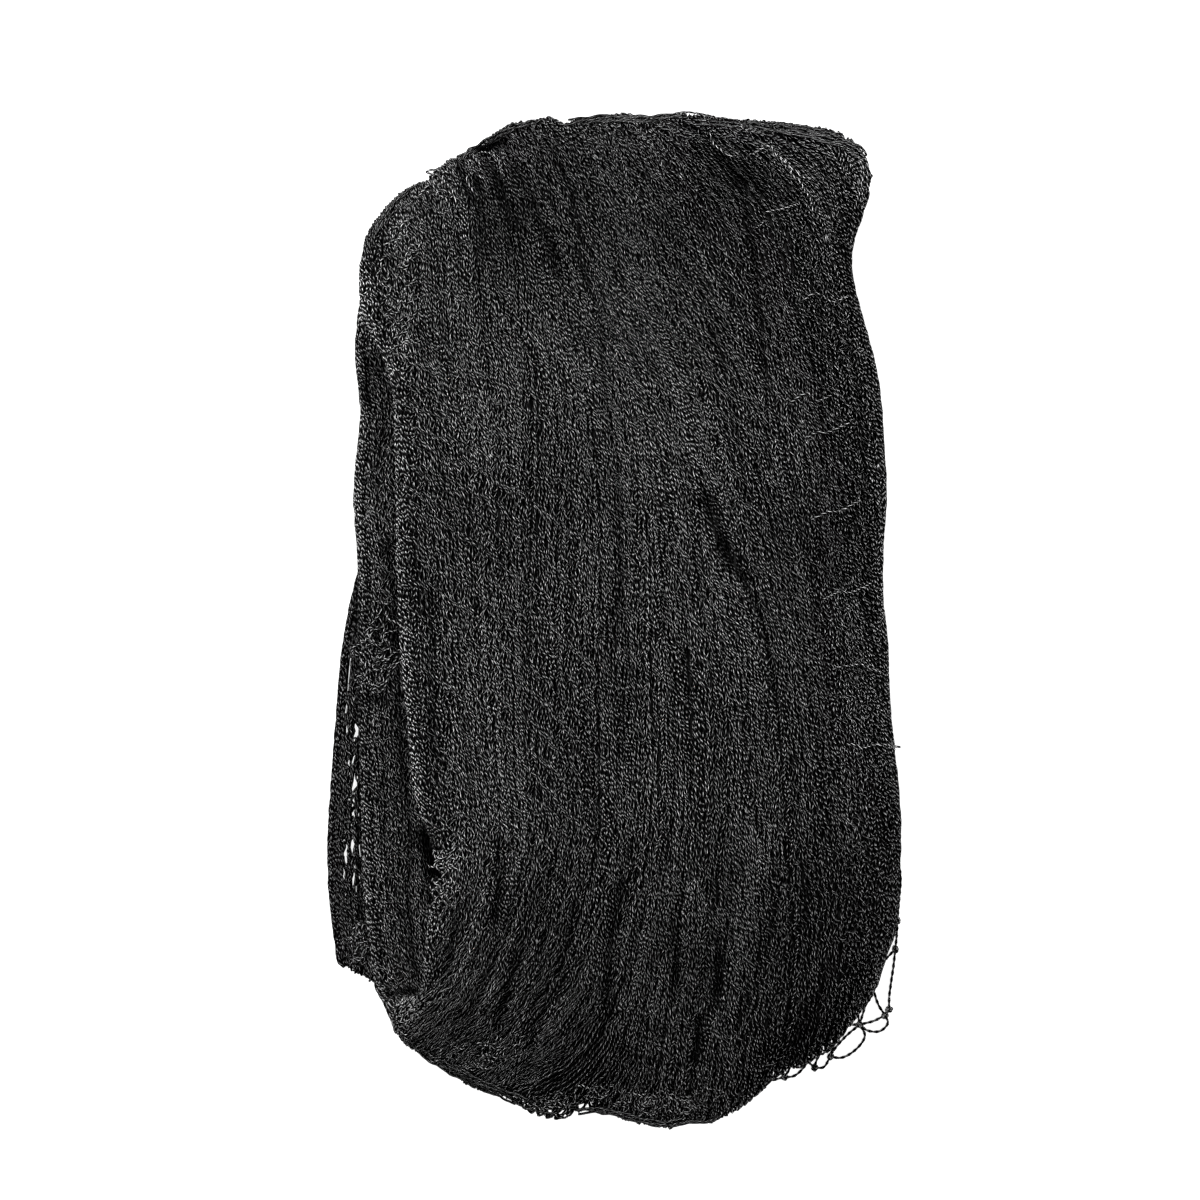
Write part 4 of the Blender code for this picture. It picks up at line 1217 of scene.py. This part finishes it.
def lay(context, number, shows):
    """Makes a layer of cords as one piece, or as more where it passes the limit of triangles."""
    parts = [Cords(CORD_SIDES)]
    for line in skin_cords(context.scene.net_cords, number, shows).lines:
        if parts[-1].triangles() > TRIANGLE_LIMIT:
            parts.append(Cords(CORD_SIDES))
        parts[-1].lines.append(line)
    name = LAYERS[number][0]
    for count, part in enumerate(parts, 1):
        cord_piece(context, name if len(parts) == 1 else f"{name}_{count}", part)


class NET_OT_face_cords(bpy.types.Operator):
    """Lay the cords that show from above, in three layers"""

    bl_idname = "netting.face_cords"
    bl_label = "Cords of the faces"

    def execute(self, context):
        for number in (LOW, FACE, HIGH):
            lay(context, number, SKIN.open_up)
        return {"FINISHED"}


class NET_OT_side_cords(bpy.types.Operator):
    """Lay the cords that show only from the sides and below"""

    bl_idname = "netting.side_cords"
    bl_label = "Cords of the sides"

    def execute(self, context):
        lay(context, SIDE, SKIN.open_side * (1 - SKIN.open_up))
        return {"FINISHED"}


def smooth_line(places, step):
    """A smooth line through places, with a point about every step millimetres."""
    places = np.array(places, float)
    keys = travelled(places)
    at = np.linspace(0, keys[-1], max(3, int(keys[-1] / step)))
    return np.stack([smooth_table(np.column_stack([keys, values]), at) for values in places.T], 1)


def twisted(cords, line, phase, shade):
    """Adds a cord as its two plies, wound round each other along a line."""
    along = unit(np.gradient(line, axis=0))
    aside = unit(np.cross(along, UP))
    above = np.cross(aside, along)
    for half in (0.0, math.pi):
        angle = 2 * math.pi * travelled(line) / OPEN_TWIST + phase + half
        out = aside * np.cos(angle)[:, None] + above * np.sin(angle)[:, None]
        cords.add(line + out * OPEN_PLY * 0.85, out, OPEN_PLY, shade)


class NET_OT_open_meshes(bpy.types.Operator):
    """Make the open meshes of the net's edge beside the bundle, with their knots"""

    bl_idname = "netting.open_meshes"
    bl_label = "Open meshes"

    def execute(self, context):
        rng = np.random.default_rng(context.scene.net_cords.seed + 20)
        cords = Cords(5)
        for start, between, end in OPEN_CORDS:
            places = [(x, y, OPEN_REST) for x, y in between]
            if isinstance(start, str):
                places.insert(0, (*KNOTS[start], OPEN_REST + 0.2))
            else:
                places[0] = (*places[0][:2], start)
            if isinstance(end, str):
                places.append((*KNOTS[end], OPEN_REST + 0.3))
            else:
                places[-1] = (*places[-1][:2], end)
            line = smooth_line(places, 0.45)
            line[:, 2] = np.maximum(line[:, 2], OPEN_REST)
            twisted(cords, line, rng.uniform(0, 6.28), rng.uniform(0.8, 1.1))
        for x, y in KNOTS.values():
            tilt = rng.uniform(0, math.pi)
            for wrap in range(3):
                a = np.linspace(0, 2 * math.pi, 16)
                size = 0.75 + 0.12 * wrap
                ring = np.stack([size * np.cos(a), 0.45 * size * np.sin(a), 0.35 * np.sin(a + wrap)], 1)
                turn = tilt + wrap * 1.05
                spun = ring.copy()
                spun[:, 0] = ring[:, 0] * math.cos(turn) - ring[:, 1] * math.sin(turn)
                spun[:, 1] = ring[:, 0] * math.sin(turn) + ring[:, 1] * math.cos(turn)
                cords.add(spun + (x, y, 0.9), UP, KNOT_RADIUS, KNOT_SHADE)
        cord_piece(context, "open_meshes", cords)
        return {"FINISHED"}


class Drape:
    """Height of the bundle at places in plan, and of a loose cord that lies on it."""

    def __init__(self):
        self.tree = solid_tree()

    def heights(self, line):
        """Height under each place of a line, or the floor's."""
        out = []
        for x, y in line[:, :2]:
            start = Vector(place((x, y, 90.0)))
            hit = self.tree.ray_cast(start, Vector((0, 0, -1)))[0]
            out.append(hit.z / MM if hit else 0.0)
        return np.array(out)

    def along(self, line, width):
        """Heights as above, where a cord falls over an edge no more steeply than it bends, evened out."""
        run = travelled(line[:, :2])
        fallen = FALL * np.abs(run[:, None] - run[None, :])
        return evened((self.heights(line)[None, :] - fallen).max(1), width)


class NET_OT_loose_cords(bpy.types.Operator):
    """Make the cords that cross the gathers and the loops that stand out of the bundle"""

    bl_idname = "netting.loose_cords"
    bl_label = "Loose cords and loops"

    def execute(self, context):
        rng = np.random.default_rng(context.scene.net_cords.seed + 40)
        drape = Drape()
        cords = Cords(4)

        def lifted(line, height):
            return np.column_stack([line, np.maximum(height, LOWEST)])

        def tucked(count):
            """1 at both ends of a line of so many points, and soon nothing further in."""
            at = np.arange(count)
            return np.exp(-np.minimum(at, at[::-1]) / 2.0)

        for places in CROSS_CORDS:
            line = smooth_line(places, 0.8)
            line += np.stack([0.3 * waves(rng, np.arange(len(line)) * 0.8, (5.0, 9.0))] * 2, 1)
            height = drape.along(line, 1) + 0.85 - 1.2 * tucked(len(line))
            cords.add(lifted(line, height), UP, CROSS_RADIUS, CROSS_SHADE)
        for places in HANGING_CORDS:
            line = smooth_line(places, 0.5)
            share = np.linspace(0, 1, len(line))
            height = drape.along(line, 9) + 0.9 - 1.6 * np.abs(2 * share - 1) ** 6
            # Painted light: loops that stand out of the bundle are drawn lighter, as they catch more light.
            cords.add(lifted(line, height), UP, HANGING_RADIUS, rng.uniform(1.3, 1.9))
        for count, spacing, inset, *places in RIM_CORDS:
            rim = smooth_line(places, 1.0)
            along = unit(np.gradient(rim, axis=0))
            inwards = np.stack([along[:, 1], -along[:, 0]], 1)
            inwards *= np.sign(-(rim * inwards).sum(1).mean())
            for k in range(count):
                length = int(len(rim) * rng.uniform(0.35, 0.9))
                first = rng.integers(0, len(rim) - length + 1)
                kept = slice(first, first + length)
                at = np.arange(length) * 1.0
                aside = inset + spacing * k + 0.3 * waves(rng, at, (9.0, 21.0))
                aside += 0.12 * waves(rng, at, (4.0, 6.0))
                line = rim[kept] + inwards[kept] * aside[:, None]
                height = drape.along(line + inwards[kept] * 1.2, 5) + (0.3 - 2.0 * tucked(length))
                line = np.column_stack([line, height])
                shades = rng.uniform(0.8, 1.2) * tone(line[:, 0], line[:, 1])
                cords.add(line, UP, RIM_RADIUS, shades, laid(line, -1.0))
        for x, y, half_width, half_length, loops, degrees, curl, lift in LOOP_PATCHES:
            for _ in range(loops):
                around, out = rng.uniform(0, 2 * math.pi), math.sqrt(rng.uniform())
                length = rng.uniform(6.0, 14.0)
                s = np.linspace(0, length, int(length / 0.75) + 3)
                heading = math.radians(-degrees + rng.normal(0, 16)) + curl * np.sin(
                    2 * math.pi * (s / length * rng.uniform(0.6, 1.6) + rng.uniform())
                )
                step = s[1] - s[0]
                line = np.stack([np.cumsum(np.sin(heading)) * step, -np.cumsum(np.cos(heading)) * step], 1)
                middle = (x + out * half_width * math.cos(around), y + out * half_length * math.sin(around))
                line += middle - line.mean(0)
                share = s / length
                rise = lift * rng.uniform(0.2, 1.0) * np.sin(math.pi * share) ** 0.7 - 0.3
                if drape.heights(line).min() < 3.0:
                    continue
                height = drape.along(line, 5) + rise
                # Painted light: these loops stand out of the bundle and are drawn lighter, as they catch
                # more light.
                cords.add(lifted(line, height), UP, LOOP_RADIUS, rng.uniform(0.9, 1.7))
        cord_piece(context, "loose_cords", cords)
        return {"FINISHED"}


class NET_OT_stage(bpy.types.Operator):
    """Set the pale floor, the soft lights and the camera straight above"""

    bl_idname = "netting.stage"
    bl_label = "Stage"

    def execute(self, context):
        stage = context.scene.net_stage
        bpy.ops.object.select_all(action="DESELECT")
        bpy.ops.mesh.primitive_plane_add(size=6.0, location=(0, 0, 0))
        floor = context.active_object
        floor.name = "floor"
        floor.data.materials.append(floor_material(stage))
        aim = Vector((0.0, 0.0, 0.02))
        for name, where, size, power in (
            ("key_light", (-0.35, 1.35, 1.1), 0.7, stage.key_power),
            ("left_light", (-1.35, 0.1, 0.9), 0.7, stage.side_power),
            ("right_light", (1.35, 0.0, 0.9), 0.7, stage.side_power),
            ("fill_light", (0.1, -0.5, 1.9), 1.2, stage.fill_power),
        ):
            lamp = bpy.data.lights.new(name, "AREA")
            lamp.shape, lamp.size, lamp.energy = "DISK", size, power
            light = bpy.data.objects.new(name, lamp)
            light.location = where
            light.rotation_euler = (aim - Vector(where)).to_track_quat("-Z", "Y").to_euler()
            context.scene.collection.objects.link(light)
        world = bpy.data.worlds.new("room")
        world.use_nodes = True
        background = world.node_tree.nodes["Background"].inputs
        background["Color"].default_value = WHITE
        background["Strength"].default_value = stage.room
        context.scene.world = world
        camera_data = bpy.data.cameras.new("camera")
        camera_data.sensor_width = SENSOR
        camera_data.lens = SENSOR * VIEW_FROM / VIEW_WIDTH
        camera_data.clip_end = 20.0
        camera = bpy.data.objects.new("camera", camera_data)
        camera.location = Vector(place((-4.5, 6.0, 25.0))) + Vector((0, 0, VIEW_FROM))
        context.scene.collection.objects.link(camera)
        context.scene.camera = camera
        context.scene.view_settings.view_transform = "Standard"
        return {"FINISHED"}


class NET_PT_panel(bpy.types.Panel):
    """The netting's sizes, colours and steps"""

    bl_idname = "NET_PT_panel"
    bl_label = "Bird netting"
    bl_space_type = "VIEW_3D"
    bl_region_type = "UI"
    bl_category = "Netting"

    def draw(self, context):
        for group in (context.scene.net_cords, context.scene.net_look, context.scene.net_stage):
            box = self.layout.box()
            for name in group.bl_rna.properties.keys():
                if name not in ("rna_type", "name"):
                    box.prop(group, name)
        for operator in OPERATORS:
            self.layout.operator(operator.bl_idname)


OPERATORS = (
    NET_OT_core, NET_OT_face_cords, NET_OT_side_cords,
    NET_OT_open_meshes, NET_OT_loose_cords, NET_OT_stage,
)
GROUPS = {"net_cords": NetCordSettings, "net_look": NetLookSettings, "net_stage": NetStageSettings}
CLASSES = (*GROUPS.values(), *OPERATORS, NET_PT_panel)


def register():
    for cls in CLASSES:
        bpy.utils.register_class(cls)
    for name, group in GROUPS.items():
        setattr(bpy.types.Scene, name, bpy.props.PointerProperty(type=group))


def unregister():
    for name in GROUPS:
        delattr(bpy.types.Scene, name)
    for cls in reversed(CLASSES):
        bpy.utils.unregister_class(cls)


def main():
    register()
    bpy.ops.netting.stage()
    bpy.ops.netting.core()
    bpy.ops.netting.face_cords()
    bpy.ops.netting.side_cords()
    bpy.ops.netting.open_meshes()
    bpy.ops.netting.loose_cords()


if __name__ == "__main__":
    main()
